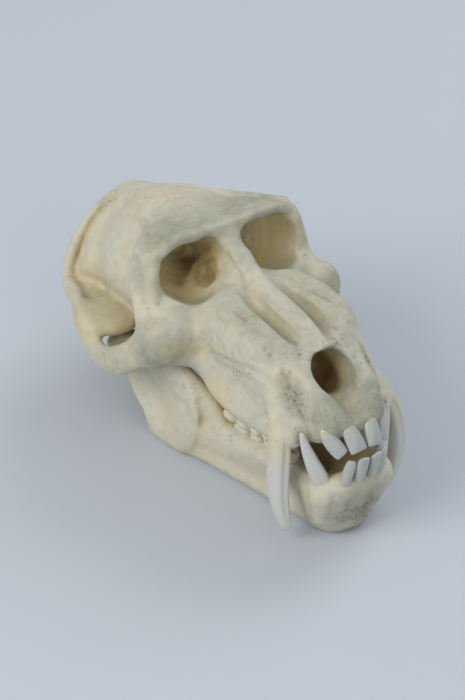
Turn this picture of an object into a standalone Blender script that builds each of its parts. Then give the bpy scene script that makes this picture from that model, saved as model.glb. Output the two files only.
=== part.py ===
"""Skull of a grown male mandrill: the cranium, the loose lower jaw and the 32 teeth in their sockets.

Blender 4.5, metres, +Z up. The skull looks towards -Y, its left side is at +X, and its plane of
symmetry is X = 0. It stands on the lower border of its jaw, at Z = 0, and the origin is under the
middle of the whole skull.

The bone is shaped like clay. Eggs, rods and lofts that stand for the swellings and bars of the
bone are fused by a voxel remesh, the hollows are cut out, and the skin that this leaves is drawn
onto the smooth blend of the same forms. The forms are written in millimetres, with Y counted
backwards from the front teeth and X outwards from the middle, and serve both sides.
"""

import math

import bmesh
import bpy
import numpy as np
from mathutils import Matrix, Vector

# Sizes, all in mm; the object that is made is in metres
MM = 0.001
MIDDLE_Y = 102.8  # from the front teeth to the middle of the skull's length
FLAT_SOLE = 0.6  # how much of the jaw's lower border is worn flat, so that the jaw stands
SOCKET_GAP = 0.35  # between a tooth and the bone round it
CROWN = 5.2  # height of a cheek tooth above its gum
CUSP_HEIGHT = 1.2
PIT_DEPTH = 0.8  # of the hollow in the middle of a chewing face
BITE_GAP = 0.6  # between the upper and the lower cheek teeth
TOOTH_GAP = 0.5  # between one cheek tooth and the next

# Fineness of the mesh
SKIN_VOXEL = 2.2
SLOPE_STEP = 0.25  # how far round a point the slope of the blend is felt
LONGEST_MOVE = 2.5  # of a point in one round of drawing
CRANIUM_TRIANGLES = 3130
JAW_TRIANGLES = 1190
FRONT_TOOTH_SIDES = 12
CHEEK_TOOTH_SIDES = 8

# Colours, as linear red, green and blue
UPPER_BONE = (0.52, 0.50, 0.40)
LOWER_BONE = (0.50, 0.47, 0.36)
FRONT_ENAMEL = (0.72, 0.74, 0.74)
CHEEK_ENAMEL = (0.66, 0.63, 0.52)
BONE_ROUGHNESS = 0.6
ENAMEL_ROUGHNESS = 0.25


def blend(a, b, width):
    """The union of two depths, with a fillet about as wide as width."""
    share = np.clip(0.5 + 0.5 * (b - a) / width, 0.0, 1.0)
    return b + (a - b) * share - width * share * (1.0 - share)


def curve_through(rows, steps):
    """Rows of numbers resampled along a smooth curve through them, with steps to each stretch."""
    rows = np.asarray(rows, float)
    before = np.vstack([2 * rows[0] - rows[1], rows[:-1]])
    after = np.vstack([rows[1:], 2 * rows[-1] - rows[-2]])
    slope = (after - before) / 2
    out = []
    for i in range(len(rows) - 1):
        for t in np.arange(steps) / steps:
            h = np.array([2 * t**3 - 3 * t**2 + 1, t**3 - 2 * t**2 + t, 3 * t**2 - 2 * t**3, t**3 - t**2])
            out.append(h @ np.array([rows[i], slope[i], rows[i + 1], slope[i + 1]]))
    return np.array([*out, rows[-1]])


class Egg:
    """An ellipsoid, tipped by pitch degrees about the X axis."""

    def __init__(self, centre, radii, pitch=0.0):
        self.centre = np.array(centre, float)
        self.radii = np.array(radii, float)
        self.turn = np.array(Matrix.Rotation(math.radians(pitch), 3, "X"))

    def depth(self, points):
        local = (points - self.centre) @ self.turn
        near = np.linalg.norm(local / self.radii, axis=1)
        steep = np.linalg.norm(local / self.radii**2, axis=1) + 1e-9
        return near * (near - 1.0) / steep

    def box(self):
        reach = np.full(3, self.radii.max())
        return self.centre - reach, self.centre + reach

    def add_to(self, bm):
        made = bmesh.ops.create_uvsphere(bm, u_segments=24, v_segments=16, radius=1.0)["verts"]
        for vert in made:
            vert.co = Vector(self.centre + self.turn @ (np.array(vert.co) * self.radii))


class Rod:
    """A round bar along a smooth curve of (x, y, z, radius), squashed by the factors in squash."""

    def __init__(self, points, squash=(1.0, 1.0, 1.0), steps=3):
        self.squash = np.array(squash, float)
        rows = curve_through(points, steps) if len(points) > 2 else np.array(points, float)
        self.ends = rows[:, :3] / self.squash
        self.radii = rows[:, 3]

    def depth(self, points):
        local = points / self.squash
        best = np.full(len(points), 1e9)
        for a, b, ra, rb in zip(self.ends[:-1], self.ends[1:], self.radii[:-1], self.radii[1:]):
            along = b - a
            t = np.clip((local - a) @ along / (along @ along), 0.0, 1.0)
            gap = np.linalg.norm(local - a - t[:, None] * along, axis=1)
            best = np.minimum(best, gap - ra - (rb - ra) * t)
        return best * self.squash.min()

    def box(self):
        reach = self.radii.max() * self.squash
        centres = self.ends * self.squash
        return centres.min(axis=0) - reach, centres.max(axis=0) + reach

    def add_to(self, bm):
        made = []
        for end, radius in zip(self.ends, self.radii):
            place = Matrix.Translation(Vector(end))
            ball = bmesh.ops.create_uvsphere(bm, u_segments=12, v_segments=8, radius=radius, matrix=place)
            made += ball["verts"]
        for a, b, ra, rb in zip(self.ends[:-1], self.ends[1:], self.radii[:-1], self.radii[1:]):
            along = Vector(b - a)
            turn = along.to_track_quat("Z", "Y").to_matrix().to_4x4()
            place = Matrix.Translation(Vector((a + b) / 2)) @ turn
            bar = bmesh.ops.create_cone(
                bm, cap_ends=True, segments=12, radius1=ra, radius2=rb, depth=along.length, matrix=place
            )
            made += bar["verts"]
        for vert in made:
            vert.co = Vector(np.array(vert.co) * self.squash)


class Loft:
    """A bar along Y with rounded box sections: rows of (y, half width, bottom, top, corner radius)."""

    SIDES = 24

    def __init__(self, rows, steps=4):
        self.rows = curve_through(rows, steps)

    def depth(self, points):
        y = points[:, 1]
        half, low, high, corner = (np.interp(y, self.rows[:, 0], self.rows[:, i]) for i in range(1, 5))
        corner = np.minimum(corner, np.minimum(half, (high - low) / 2))
        across = np.abs(points[:, 0]) - half + corner
        upright = np.abs(points[:, 2] - (high + low) / 2) - (high - low) / 2 + corner
        outer = np.hypot(np.maximum(across, 0), np.maximum(upright, 0))
        flat = outer + np.minimum(np.maximum(across, upright), 0) - corner
        ends = np.maximum(self.rows[0, 0] - y, y - self.rows[-1, 0])
        return np.maximum(flat, ends)

    def box(self):
        half = self.rows[:, 1].max()
        low = np.array([-half, self.rows[0, 0], self.rows[:, 2].min()])
        return low, np.array([half, self.rows[-1, 0], self.rows[:, 3].max()])

    def add_to(self, bm):
        edges = []
        for y, half, low, high, corner in self.rows:
            corner = min(corner, half, (high - low) / 2)
            made = bmesh.ops.create_circle(bm, segments=self.SIDES, radius=1.0)["verts"]
            for vert in made:
                x, z = vert.co.x, vert.co.y
                inner = half - corner, (high - low) / 2 - corner
                vert.co = (
                    math.copysign(inner[0], x) * (abs(x) > 1e-6) + corner * x,
                    y,
                    (high + low) / 2 + math.copysign(inner[1], z) * (abs(z) > 1e-6) + corner * z,
                )
            ring = {edge for vert in made for edge in vert.link_edges}
            edges.append(list(ring))
        for first, second in zip(edges[:-1], edges[1:]):
            bmesh.ops.bridge_loops(bm, edges=first + second)
        bmesh.ops.contextual_create(bm, geom=edges[0])
        bmesh.ops.contextual_create(bm, geom=edges[-1])


# The cranium's swellings and bars, each with the width of the fillet that joins it to the rest.
MUZZLE = Loft([
    (9.8, 7, 58.5, 63, 2), (13, 12.5, 56, 66.5, 4.5), (19, 17.5, 52, 70, 7), (27, 22, 49, 75, 11),
    (36, 23.5, 47, 81, 16), (46, 26.3, 44, 86, 15), (58, 29.5, 41, 88.5, 7), (76, 30.8, 38.5, 88.5, 8),
    (88, 30.3, 39, 88, 10), (98, 29, 43, 87, 12), (106, 26, 50, 85, 12), (110, 24, 53, 83, 12),
])
GUM_BAR = Rod([
    (12, 17, 58.5, 5), (20, 24.5, 55.5, 5), (23.3, 33, 50.5, 5.4), (22.6, 45, 46.8, 5.2),
    (21.9, 60, 43.2, 5.4), (21.4, 76, 40.2, 5.4), (19.5, 84, 41.5, 4.5),
])
FACE_CORE = Loft([(96, 25, 48, 82, 10), (108, 25, 54, 80, 10), (120, 21, 56, 79, 9), (134, 18, 56, 80, 9)])
NASAL_RIDGE = Rod([
    (0, 40, 83, 4), (0, 54, 82.6, 5.4), (0, 66, 82.2, 7), (0, 80, 83, 7.2), (0, 94, 86, 7), (0, 106, 91.6, 7),
])
CANINE_SWELLING = Rod([(27, 31.5, 53, 6.2), (24.5, 38.5, 61.5, 5.2), (23, 47, 71, 4.2)])
GLABELLA = Rod([(0, 110, 86, 7), (0, 118, 94, 8), (0, 126, 94, 8)])
BROW = Rod([
    (0, 121.5, 101.5, 4.5), (9, 120, 104.2, 3.2), (20, 119.5, 105, 2.8), (31, 120.5, 103, 3),
    (39, 123.5, 98, 3.4),
])
ORBIT_SIDE = Rod([(39, 119, 95, 3.4), (40.2, 117.5, 88, 3.8), (40.6, 115.5, 80, 4.8), (40.5, 111.5, 72, 6.5)])
SIDE_PLATE = Rod([(39, 124, 96.5, 3.2), (40.6, 124.2, 88, 3.4), (41.8, 122.5, 80, 3.6), (42.5, 117, 73, 4.5)])
SIDE_EDGE = Rod([
    (39, 129, 98.3, 2.8), (41.5, 129.5, 91, 2.6), (43, 128.5, 82, 2.7), (44.4, 121.5, 76, 3.2),
    (45.5, 112.5, 69, 5),
])
ORBIT_WALL = Egg((31.5, 128, 86), (7, 12, 14))
TEMPLE_FILL = Egg((26, 132, 88), (10, 16, 13))
CHEEK = Rod([(20, 103, 68, 9), (32, 103.5, 65, 9), (41, 104.5, 65, 8.6), (47, 109, 61, 7.5)])
CHEEK_LUMP = Egg((42.5, 102, 67), (10.5, 9.5, 10.5))
ORBIT_FLOOR = Egg((31, 113, 75), (11, 11, 9))
CHEEK_ROOT = Rod([(26, 92, 58, 7), (32, 97, 60.5, 7.2), (38, 101, 62.5, 7.2)])
ARCH = Rod([
    (47, 105, 63.5, 7.5), (52.5, 112, 57, 6.8), (56, 121, 49, 7), (56.7, 130, 44.6, 6.8),
    (56.7, 139.5, 44.8, 6.6), (56, 148, 47.6, 6.2), (53.4, 157, 49.8, 6), (48.7, 166, 49.6, 6),
    (44, 176, 47.5, 6), (40.5, 186, 45, 5.4),
], squash=(0.48, 1, 1))
SHELF = Egg((43, 149, 52.5), (15.5, 14.2, 5.5))
BRAINCASE = Egg((0, 155, 68), (37.5, 38, 31), pitch=-10)
ROOF = Loft([
    (118.5, 32.5, 88, 106.3, 3), (128, 31, 84, 105, 5), (140, 26, 82, 101.8, 7), (157, 18, 78, 96, 8),
    (172, 11, 72, 92, 7), (188, 6, 68, 87, 5), (199, 3.5, 68, 82.5, 3),
])
TEMPLE_LINE = Rod([
    (39, 129, 98.5, 3), (30, 139, 99.3, 2.2), (21, 156, 95, 2), (10.5, 172, 92.8, 2), (2, 194, 82.5, 3),
])
NAPE_CREST = Rod([
    (0, 200.5, 80, 4), (12, 201.5, 76.5, 2.8), (22, 201, 69, 2.6), (30, 199.5, 60.5, 2.6),
    (36.5, 196, 50, 2.8), (39.5, 188, 44, 3.4), (40, 178, 44, 4),
])
NAPE_VALLEY = Rod([(5, 190, 79, 5), (15, 191, 74.5, 5), (24, 189, 67, 5.5), (30, 184, 58, 6)])
NAPE = Egg((0, 177, 58), (31, 21, 23), pitch=-20)
NAPE_FILL = Rod([(0, 192, 71, 7), (16, 193, 61, 6), (27, 190, 51, 5.5), (34, 180, 43, 6)])
EAR_ROOT = Rod([(33, 156, 47, 9), (37, 166, 44, 7.5), (36, 175, 43, 6.5)])
SKULL_BASE = Rod([(0, 172, 42, 9), (0, 152, 42, 9), (0, 132, 46, 9), (0, 112, 52, 9)])
EAR_BULB = Egg((19, 156, 39), (7, 12, 7))
NECK_KNUCKLE = Egg((12, 178, 37), (5, 9, 5.5), pitch=30)
WING_PLATE = Rod([(14, 96, 44, 5), (13, 106, 40, 3.5), (13, 116, 40, 3)], squash=(0.7, 1, 1))
TEMPLE_WING = Egg((22, 132, 66), (12, 18, 22))

CRANIUM_ADDED = [
    (MUZZLE, 1), (NASAL_RIDGE, 5), (BRAINCASE, 10), (ROOF, 8), (GLABELLA, 8), (FACE_CORE, 6),
    (TEMPLE_WING, 8), (NAPE, 8), (NAPE_FILL, 6), (NAPE_VALLEY, 8), (SKULL_BASE, 6), (GUM_BAR, 3),
    (CHEEK, 8), (CHEEK_LUMP, 8), (CHEEK_ROOT, 6), (BROW, 4), (ORBIT_FLOOR, 6), (TEMPLE_FILL, 6),
    (ORBIT_WALL, 5), (ORBIT_SIDE, 4), (SIDE_PLATE, 3), (SIDE_EDGE, 2.5), (SHELF, 4), (ARCH, 4),
    (EAR_ROOT, 6), (CANINE_SWELLING, 5), (TEMPLE_LINE, 2.5), (NAPE_CREST, 3), (EAR_BULB, 3),
    (NECK_KNUCKLE, 3), (WING_PLATE, 4),
]

# The cranium's hollows. The nasal ridge is left standing between the grooves cut along the muzzle.
NOSE_GROOVE = Rod([
    (6.6, 108, 95.5, 1), (7.4, 97, 91.4, 1.8), (8.4, 86, 88, 2.9), (9.3, 74, 86, 3.8), (9.5, 63, 85.8, 4),
    (9, 54, 86.6, 3.5), (7.8, 45, 87.4, 2.8), (6.4, 37, 87, 1.8), (5, 30, 86, 1),
])
ORBIT_TOP = Rod([(12.8, 110.5, 97.4, 7.6), (12.8, 117, 96, 7.6), (12, 125, 90, 6), (11, 134, 86, 4.5)])
ORBIT_BOTTOM = Rod([
    (23.4, 110, 91.6, 13.6), (23.4, 116, 90, 13.4), (18.5, 127, 87.2, 8.8), (13, 140, 86, 4.5),
])
NOSE_OPENING = Rod([(0, 23, 83, 9), (0, 33, 76.5, 10.5), (0, 46, 70, 9)])
NOSE_SILL = Rod([(0, 10, 69, 4), (0, 18, 71.5, 5.8), (0, 28, 76, 8.5)])
PALATE = Rod([(0, 24, 50, 5), (0, 34, 45, 10), (0, 50, 41, 12), (0, 70, 36, 13), (0, 100, 30, 15)])
REAR_NOSTRILS = Rod([(0, 104, 38, 8), (0, 92, 46, 7.5), (0, 80, 54, 6)])
SPINE_HOLE = Rod([(0, 196, 30, 8.5), (0, 182, 44, 8.5), (0, 172, 56, 10)])
CANINE_HOLLOW = Egg((38, 66, 58), (10, 22, 11))
CANINE_NOTCH = Rod([(19.5, 14, 38, 5), (22, 18, 49, 4.6), (24, 22, 60, 3.4)])

CRANIUM_CUT = [
    (NOSE_GROOVE, 3), (ORBIT_TOP, 1.8), (ORBIT_BOTTOM, 1.5), (NOSE_OPENING, 1.5), (NOSE_SILL, 3),
    (PALATE, 4), (REAR_NOSTRILS, 3), (SPINE_HOLE, 3), (CANINE_HOLLOW, 8), (CANINE_NOTCH, 2),
]

# The lower jaw, one side of it; the middle of the chin lies on X = 0.
JAW_EDGE = Rod([
    (8.5, 24, 8, 7.6), (13, 39, 6.6, 6.6), (17, 56, 6, 6), (20.5, 70, 6, 6), (25, 86, 5.8, 5.8),
    (30, 100, 5.8, 5.6), (33, 110, 5.6, 5.4), (34.3, 117, 5.6, 5.4),
])
JAW_MIDDLE = Rod([
    (11, 24, 20, 7.5), (13.5, 40, 18, 6.2), (17, 58, 16, 6), (21.5, 76, 14, 6), (27, 95, 16, 6),
])
TOOTH_BAR = Rod([
    (0, 9.5, 31.5, 6), (7.5, 10, 31.5, 6), (14.5, 16, 28.5, 6.2), (17, 29, 28, 6.2), (18.3, 45, 27, 6.2),
    (19.3, 60, 23.6, 6.2), (21, 75, 20.6, 6.2), (23.5, 86, 20.5, 6),
])
CHIN = Rod([(0, 12, 21, 7), (6.5, 13, 21, 7), (11, 20, 20, 7)])
CHIN_FOOT = Rod([(0, 17, 9.5, 9), (4.5, 19, 9, 9), (0, 27, 10, 9)])
JAW_CANINE_SWELLING = Rod([(16.3, 14.5, 25, 5.2), (14, 17, 14, 5)])
RAMUS = Egg((33.5, 110, 26), (4.5, 23, 24), pitch=-12)
RAMUS_FRONT = Rod([
    (23, 81, 22.5, 6), (26, 87.5, 32, 5.8), (29, 95, 39, 5), (33, 104.5, 45, 4.6), (36, 119.5, 54, 3.6),
], squash=(0.8, 1, 1))
RAMUS_REAR = Rod([(35.3, 119, 12, 5), (37, 129, 21, 4.6), (38, 137, 33, 4.2), (38.5, 143, 39, 3.6)])
RAMUS_TOP = Rod([(36, 119.5, 51, 3.6), (37.2, 131, 44.5, 3.6), (38.5, 142, 41.5, 3.8)])
JAW_KNUCKLE = Rod([(32, 143, 40, 3.6), (43, 144, 40, 3.6)])
JAW_ADDED = [
    (JAW_EDGE, 1), (JAW_MIDDLE, 6), (TOOTH_BAR, 6), (CHIN, 8), (CHIN_FOOT, 8),
    (JAW_CANINE_SWELLING, 5), (RAMUS, 6), (RAMUS_FRONT, 4), (RAMUS_REAR, 4), (RAMUS_TOP, 4),
    (JAW_KNUCKLE, 3),
]
CHEWING_HOLLOW = Egg((43, 112, 26), (7, 15, 15), pitch=-12)
JAW_CUT = [(CHEWING_HOLLOW, 4)]


def depth_of(points, added, cut):
    """How far outside the bone each point is, in mm; both sides of the skull read the same forms."""
    side = np.array(points)
    side[:, 0] = np.abs(side[:, 0])
    total = np.full(len(side), 1e3)
    for sign, forms in ((1, added), (-1, cut)):
        for form, width in forms:
            low, high = form.box()
            reach = 3 * width + SKIN_VOXEL + LONGEST_MOVE
            near = ((side > low - reach) & (side < high + reach)).all(axis=1)
            if near.any():
                total[near] = sign * blend(sign * total[near], form.depth(side[near]), width)
    return total


def new_object(name, mesh, collection):
    obj = bpy.data.objects.new(name, mesh)
    collection.objects.link(obj)
    return obj


def fused(name, forms, collection):
    """The forms and their mirror images as one closed mesh in mm, by a voxel remesh."""
    bm = bmesh.new()
    for form, _ in forms:
        form.add_to(bm)
    both = bm.verts[:] + bm.edges[:] + bm.faces[:]
    copy = bmesh.ops.duplicate(bm, geom=both)["geom"]
    flipped = [item for item in copy if isinstance(item, bmesh.types.BMVert)]
    bmesh.ops.scale(bm, vec=(-1, 1, 1), verts=flipped)
    bmesh.ops.reverse_faces(bm, faces=[item for item in copy if isinstance(item, bmesh.types.BMFace)])
    mesh = bpy.data.meshes.new(name)
    bm.to_mesh(mesh)
    bm.free()
    obj = new_object(name, mesh, collection)
    add_remesh(obj)
    return obj


def add_remesh(obj):
    remesh = obj.modifiers.new("fuse", "REMESH")
    remesh.mode = "VOXEL"
    remesh.voxel_size = SKIN_VOXEL
    remesh.adaptivity = 0.0


def apply_modifiers(obj):
    graph = bpy.context.evaluated_depsgraph_get()
    mesh = bpy.data.meshes.new_from_object(obj.evaluated_get(graph))
    obj.modifiers.clear()
    old = obj.data
    obj.data = mesh
    bpy.data.meshes.remove(old)


def points_of(obj):
    flat = np.empty(len(obj.data.vertices) * 3, np.float32)
    obj.data.vertices.foreach_get("co", flat)
    return flat.reshape(-1, 3).astype(float)


def draw_onto(obj, added, cut, rounds=3):
    """Each point moved along the slope of the blend until it lies on its surface."""
    points = points_of(obj)
    corners = np.array([(1, 1, 1), (1, -1, -1), (-1, 1, -1), (-1, -1, 1)], float)
    for _ in range(rounds):
        around = [depth_of(points + SLOPE_STEP * corner, added, cut) for corner in corners]
        rise = sum(value[:, None] * corner for value, corner in zip(around, corners))
        slope = rise / (len(corners) * SLOPE_STEP)
        here = sum(around) / len(corners)
        move = here / np.maximum((slope**2).sum(axis=1), 0.2)
        points -= slope * np.clip(move, -LONGEST_MOVE, LONGEST_MOVE)[:, None]
    obj.data.vertices.foreach_set("co", points.astype(np.float32).ravel())
    obj.data.update()


def bone(name, added, cut, triangles, parts, tools):
    """One bone: fused, hollowed, drawn onto the smooth blend and thinned to a light mesh, in mm."""
    obj = fused(name, added, parts)
    apply_modifiers(obj)
    cutter = fused(f"{name}_hollows", cut, tools)
    apply_modifiers(cutter)
    hollow = obj.modifiers.new("hollow", "BOOLEAN")
    hollow.operation = "DIFFERENCE"
    hollow.object = cutter
    apply_modifiers(obj)
    bpy.data.objects.remove(cutter)
    for _ in range(2):
        add_remesh(obj)
        apply_modifiers(obj)
        draw_onto(obj, added, cut)
    obj.data.validate()
    faces = sum(len(polygon.vertices) - 2 for polygon in obj.data.polygons)
    thin = obj.modifiers.new("thin", "DECIMATE")
    thin.ratio = triangles / faces
    apply_modifiers(obj)
    return obj


def make_material(name, colour, roughness):
    made = bpy.data.materials.new(name)
    made.use_nodes = True
    shader = made.node_tree.nodes["Principled BSDF"]
    shader.inputs["Base Color"].default_value = (*colour, 1.0)
    shader.inputs["Roughness"].default_value = roughness
    return made


def flatten_sole(obj):
    """Cuts the jaw's lower border off level, so that it has a flat face to stand on."""
    bm = bmesh.new()
    bm.from_mesh(obj.data)
    everything = bm.verts[:] + bm.edges[:] + bm.faces[:]
    cut = bmesh.ops.bisect_plane(
        bm, geom=everything, plane_co=(0, 0, FLAT_SOLE), plane_no=(0, 0, 1), clear_inner=True
    )
    rim = [item for item in cut["geom_cut"] if isinstance(item, bmesh.types.BMEdge)]
    bmesh.ops.holes_fill(bm, edges=rim)
    bmesh.ops.triangulate(bm, faces=bm.faces[:])
    bm.to_mesh(obj.data)
    bm.free()


class Tooth:
    """One tooth of the left side: rows of (x, y, z, half width, half thickness) from root to tip.

    Width is measured along the row of teeth, whose direction there is along. Cusps is how many
    points stand on the chewing face: none on a tooth that ends in an edge or a point.
    """

    def __init__(self, name, rows, along, cusps=0):
        self.name = name
        self.rows = rows
        self.along = Vector((*along, 0)).normalized()
        self.cusps = cusps

    def root(self, side):
        return Vector((side * self.rows[0][0], *self.rows[0][1:3]))

    def mesh(self, side, grow=0.0):
        """The tooth of one side (-1 is the right one), swollen by grow, in mm."""
        bm = bmesh.new()
        centres = [Vector(row[:3]) for row in self.rows]
        last = len(centres) - 1
        sides = CHEEK_TOOTH_SIDES if self.cusps else FRONT_TOOTH_SIDES
        loops = []
        for i, row in enumerate(self.rows):
            axis = (centres[min(i + 1, last)] - centres[max(i - 1, 0)]).normalized()
            wide = (self.along - axis * self.along.dot(axis)).normalized()
            thick = axis.cross(wide)
            push = {0: -grow, last: grow}.get(i, 0.0)
            made = bmesh.ops.create_circle(bm, segments=sides, radius=1.0)["verts"]
            for vert in made:
                u, v = vert.co.x, vert.co.y
                rise = push + (cusp_height(u, v, self.cusps) if i == last else 0.0)
                place = centres[i] + axis * rise
                place += wide * u * (row[3] + grow) + thick * v * (row[4] + grow)
                vert.co = (side * place.x, place.y, place.z)
            loops.append(list({edge for vert in made for edge in vert.link_edges}))
        for first, second in zip(loops[:-1], loops[1:]):
            bmesh.ops.bridge_loops(bm, edges=first + second)
        bmesh.ops.contextual_create(bm, geom=loops[0])
        top = bmesh.ops.contextual_create(bm, geom=loops[-1])["faces"]
        if self.cusps:
            pit = bmesh.ops.poke(bm, faces=top)["verts"][0]
            pit.co -= (centres[last] - centres[0]).normalized() * PIT_DEPTH
        bmesh.ops.recalc_face_normals(bm, faces=bm.faces[:])
        mesh = bpy.data.meshes.new(self.name)
        bm.to_mesh(mesh)
        bm.free()
        mesh.shade_smooth()
        return mesh


def cusp_height(u, v, cusps):
    """How far the rim of the chewing face stands up at (u, v) on the unit circle."""
    return CUSP_HEIGHT * 0.5 * (1 - math.cos(cusps * math.atan2(v, u)))


def upper_gum(y):
    """Height of the upper gum line beside the cheek teeth."""
    return float(np.interp(y, [30, 39, 57, 75, 82], [47.5, 45, 40.8, 37.2, 36.5]))


def cheek_teeth(prefix, first_y, lengths, centre_x, half_wide, up):
    """The two premolars and three molars of a row, one behind the other."""
    names = ["premolar_3", "premolar_4", "molar_1", "molar_2", "molar_3"]
    made = []
    y = first_y
    for name, length, wide in zip(names, lengths, half_wide):
        middle = y + length / 2
        half = length / 2 - TOOTH_GAP / 2
        chew = upper_gum(middle) - CROWN - (0 if up else BITE_GAP)
        sign = 1 if up else -1
        x = centre_x + 0.03 * (middle - first_y)
        rows = [
            (x, middle, chew + sign * (CROWN + 5), half * 0.62, wide * 0.6),
            (x, middle, chew + sign * CROWN, half * 0.86, wide * 0.86),
            (x, middle, chew + sign * CROWN * 0.5, half, wide),
            (x, middle, chew + sign * CUSP_HEIGHT, half * 0.86, wide * 0.72),
        ]
        made.append(Tooth(f"{prefix}_{name}", rows, (0, 1), 2 if "premolar" in name else 4))
        y += length
    return made


UPPER_TEETH = [
    Tooth("upper_incisor_1", [
        (5.8, 20, 64.5, 2.2, 2), (5.7, 13.2, 61.6, 3.2, 3), (5.2, 9, 57.8, 4, 2.8), (4.6, 5.6, 54, 4.2, 1.9),
        (4.4, 4.1, 52.4, 4, 0.8),
    ], (1, 0.25)),
    Tooth("upper_incisor_2", [
        (13.6, 22.5, 62.5, 2, 2), (14, 16.4, 58.8, 2.9, 2.7), (12.9, 12, 54.9, 3.4, 2.5),
        (11.5, 8.4, 51.9, 3.2, 1.7), (10.9, 7, 50.8, 2.6, 0.7),
    ], (0.8, 0.6)),
    Tooth("upper_canine", [
        (24, 38, 62, 3, 2.8), (28.2, 31.4, 55, 5.2, 3.6), (30, 29.2, 48, 6.2, 4), (31.4, 26.8, 32, 5.9, 3.9),
        (31.6, 25, 23, 5.3, 3.6), (31, 22.8, 15, 4.4, 3), (30.2, 20.8, 9.8, 2.9, 2), (30, 20, 7.8, 0.9, 0.7),
    ], (0.2, 1)),
    *cheek_teeth("upper", 36.5, [6.8, 7.2, 9, 10.2, 10.3], 21.6, [4, 4.3, 4.8, 5.1, 4.9], True),
]
LOWER_TEETH = [
    Tooth("lower_incisor_1", [
        (3.9, 10, 29, 1.7, 2.2), (3.6, 5, 37.5, 2.3, 2.7), (3.5, 3.3, 43, 2.9, 2.5), (3.4, 2, 48, 3, 1.5),
        (3.3, 1.5, 50, 2.8, 0.7),
    ], (1, 0.1)),
    Tooth("lower_incisor_2", [
        (9, 12, 26.5, 1.7, 2.2), (9.2, 7.6, 34.5, 2.3, 2.7), (9, 5.6, 41, 2.7, 2.4), (8.6, 4.4, 46.5, 2.5, 1.5),
        (8.3, 4, 49, 1.7, 0.7),
    ], (0.85, 0.5)),
    Tooth("lower_canine", [
        (14.4, 16, 16, 2.8, 2.6), (14.8, 14.6, 25, 3.7, 2.8), (16.3, 15.2, 33.5, 4.3, 3),
        (19.4, 17.8, 42.5, 3.5, 2.5), (21.9, 20.2, 51, 2.4, 1.9), (23.6, 22.1, 58.8, 0.6, 0.5),
    ], (0.81, 0.58)),
    *cheek_teeth("lower", 30, [7.6, 7.2, 8.6, 10, 13], 18.6, [3.4, 3.7, 4, 4.2, 4.2], False),
]


def add_teeth(teeth, jaw, parts, sockets, enamels):
    """The teeth of one jaw on both sides, and the slightly larger shapes that cut their sockets."""
    to_metres = Matrix.Scale(MM, 4) @ Matrix.Translation((0, -MIDDLE_Y, -FLAT_SOLE))
    for tooth in teeth:
        for side, word in ((-1, "right"), (1, "left")):
            place = to_metres @ tooth.root(side)
            to_place = Matrix.Translation(-place) @ to_metres
            crown = new_object(f"{word}_{tooth.name}", tooth.mesh(side), parts)
            crown.data.materials.append(enamels["cheek" if tooth.cusps else "front"])
            crown.parent = jaw
            socket = new_object(f"socket_{word}_{tooth.name}", tooth.mesh(side, SOCKET_GAP), sockets)
            socket.hide_render = True
            socket.display_type = "WIRE"
            for obj in (crown, socket):
                obj.data.transform(to_place)
                obj.location = place


def add_jaw(name, jaw, teeth, colour, parts, tools, enamels):
    """One bone in metres, with its material, its teeth and their sockets."""
    jaw.data.transform(Matrix.Scale(MM, 4) @ Matrix.Translation((0, -MIDDLE_Y, -FLAT_SOLE)))
    jaw.data.materials.append(make_material(f"{name}_bone", colour, BONE_ROUGHNESS))
    jaw.data.shade_smooth()
    sockets = bpy.data.collections.new(f"{name}_sockets")
    tools.children.link(sockets)
    add_teeth(teeth, jaw, parts, sockets, enamels)
    cut = jaw.modifiers.new("sockets", "BOOLEAN")
    cut.operation = "DIFFERENCE"
    cut.operand_type = "COLLECTION"
    cut.collection = sockets


def main():
    for obj in list(bpy.data.objects):
        bpy.data.objects.remove(obj)
    parts = bpy.data.collections.new("mandrill_skull")
    tools = bpy.data.collections.new("cutters")
    for collection in (parts, tools):
        bpy.context.scene.collection.children.link(collection)
    tools.hide_render = True
    enamels = {
        "front": make_material("front_enamel", FRONT_ENAMEL, ENAMEL_ROUGHNESS),
        "cheek": make_material("cheek_enamel", CHEEK_ENAMEL, ENAMEL_ROUGHNESS),
    }
    cranium = bone("cranium", CRANIUM_ADDED, CRANIUM_CUT, CRANIUM_TRIANGLES, parts, tools)
    add_jaw("cranium", cranium, UPPER_TEETH, UPPER_BONE, parts, tools, enamels)
    mandible = bone("mandible", JAW_ADDED, JAW_CUT, JAW_TRIANGLES, parts, tools)
    flatten_sole(mandible)
    add_jaw("mandible", mandible, LOWER_TEETH, LOWER_BONE, parts, tools, enamels)


main()
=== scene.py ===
"""Looks of the mandrill skull: fine bone for the cranium and the lower jaw, and 32 enamel teeth.

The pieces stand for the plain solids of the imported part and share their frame, in metres. The bone
is made as the solids are: eggs, rods and lofts in millimetres, with Y counted back from the front
teeth, are fused, hollowed and drawn onto their smooth blend. Then the grooves, pits and seams of
the real bone are worked into the skin.
"""

import math

import bmesh
import bpy
import numpy as np
from mathutils import Matrix, Vector, noise


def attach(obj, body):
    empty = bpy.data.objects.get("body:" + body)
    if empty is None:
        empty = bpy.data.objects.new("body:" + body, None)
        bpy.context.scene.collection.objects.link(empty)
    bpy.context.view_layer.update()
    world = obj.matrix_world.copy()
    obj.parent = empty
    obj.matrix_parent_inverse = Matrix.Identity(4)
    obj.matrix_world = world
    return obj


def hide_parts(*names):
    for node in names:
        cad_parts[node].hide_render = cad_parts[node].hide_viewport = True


bl_info = {
    "name": "Mandrill skull",
    "version": (1, 0, 0),
    "blender": (4, 5, 0),
    "location": "View3D > Sidebar > Skull",
    "description": "Builds a mandrill skull with its lower jaw and teeth round the packed part",
    "category": "Add Mesh",
}

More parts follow.
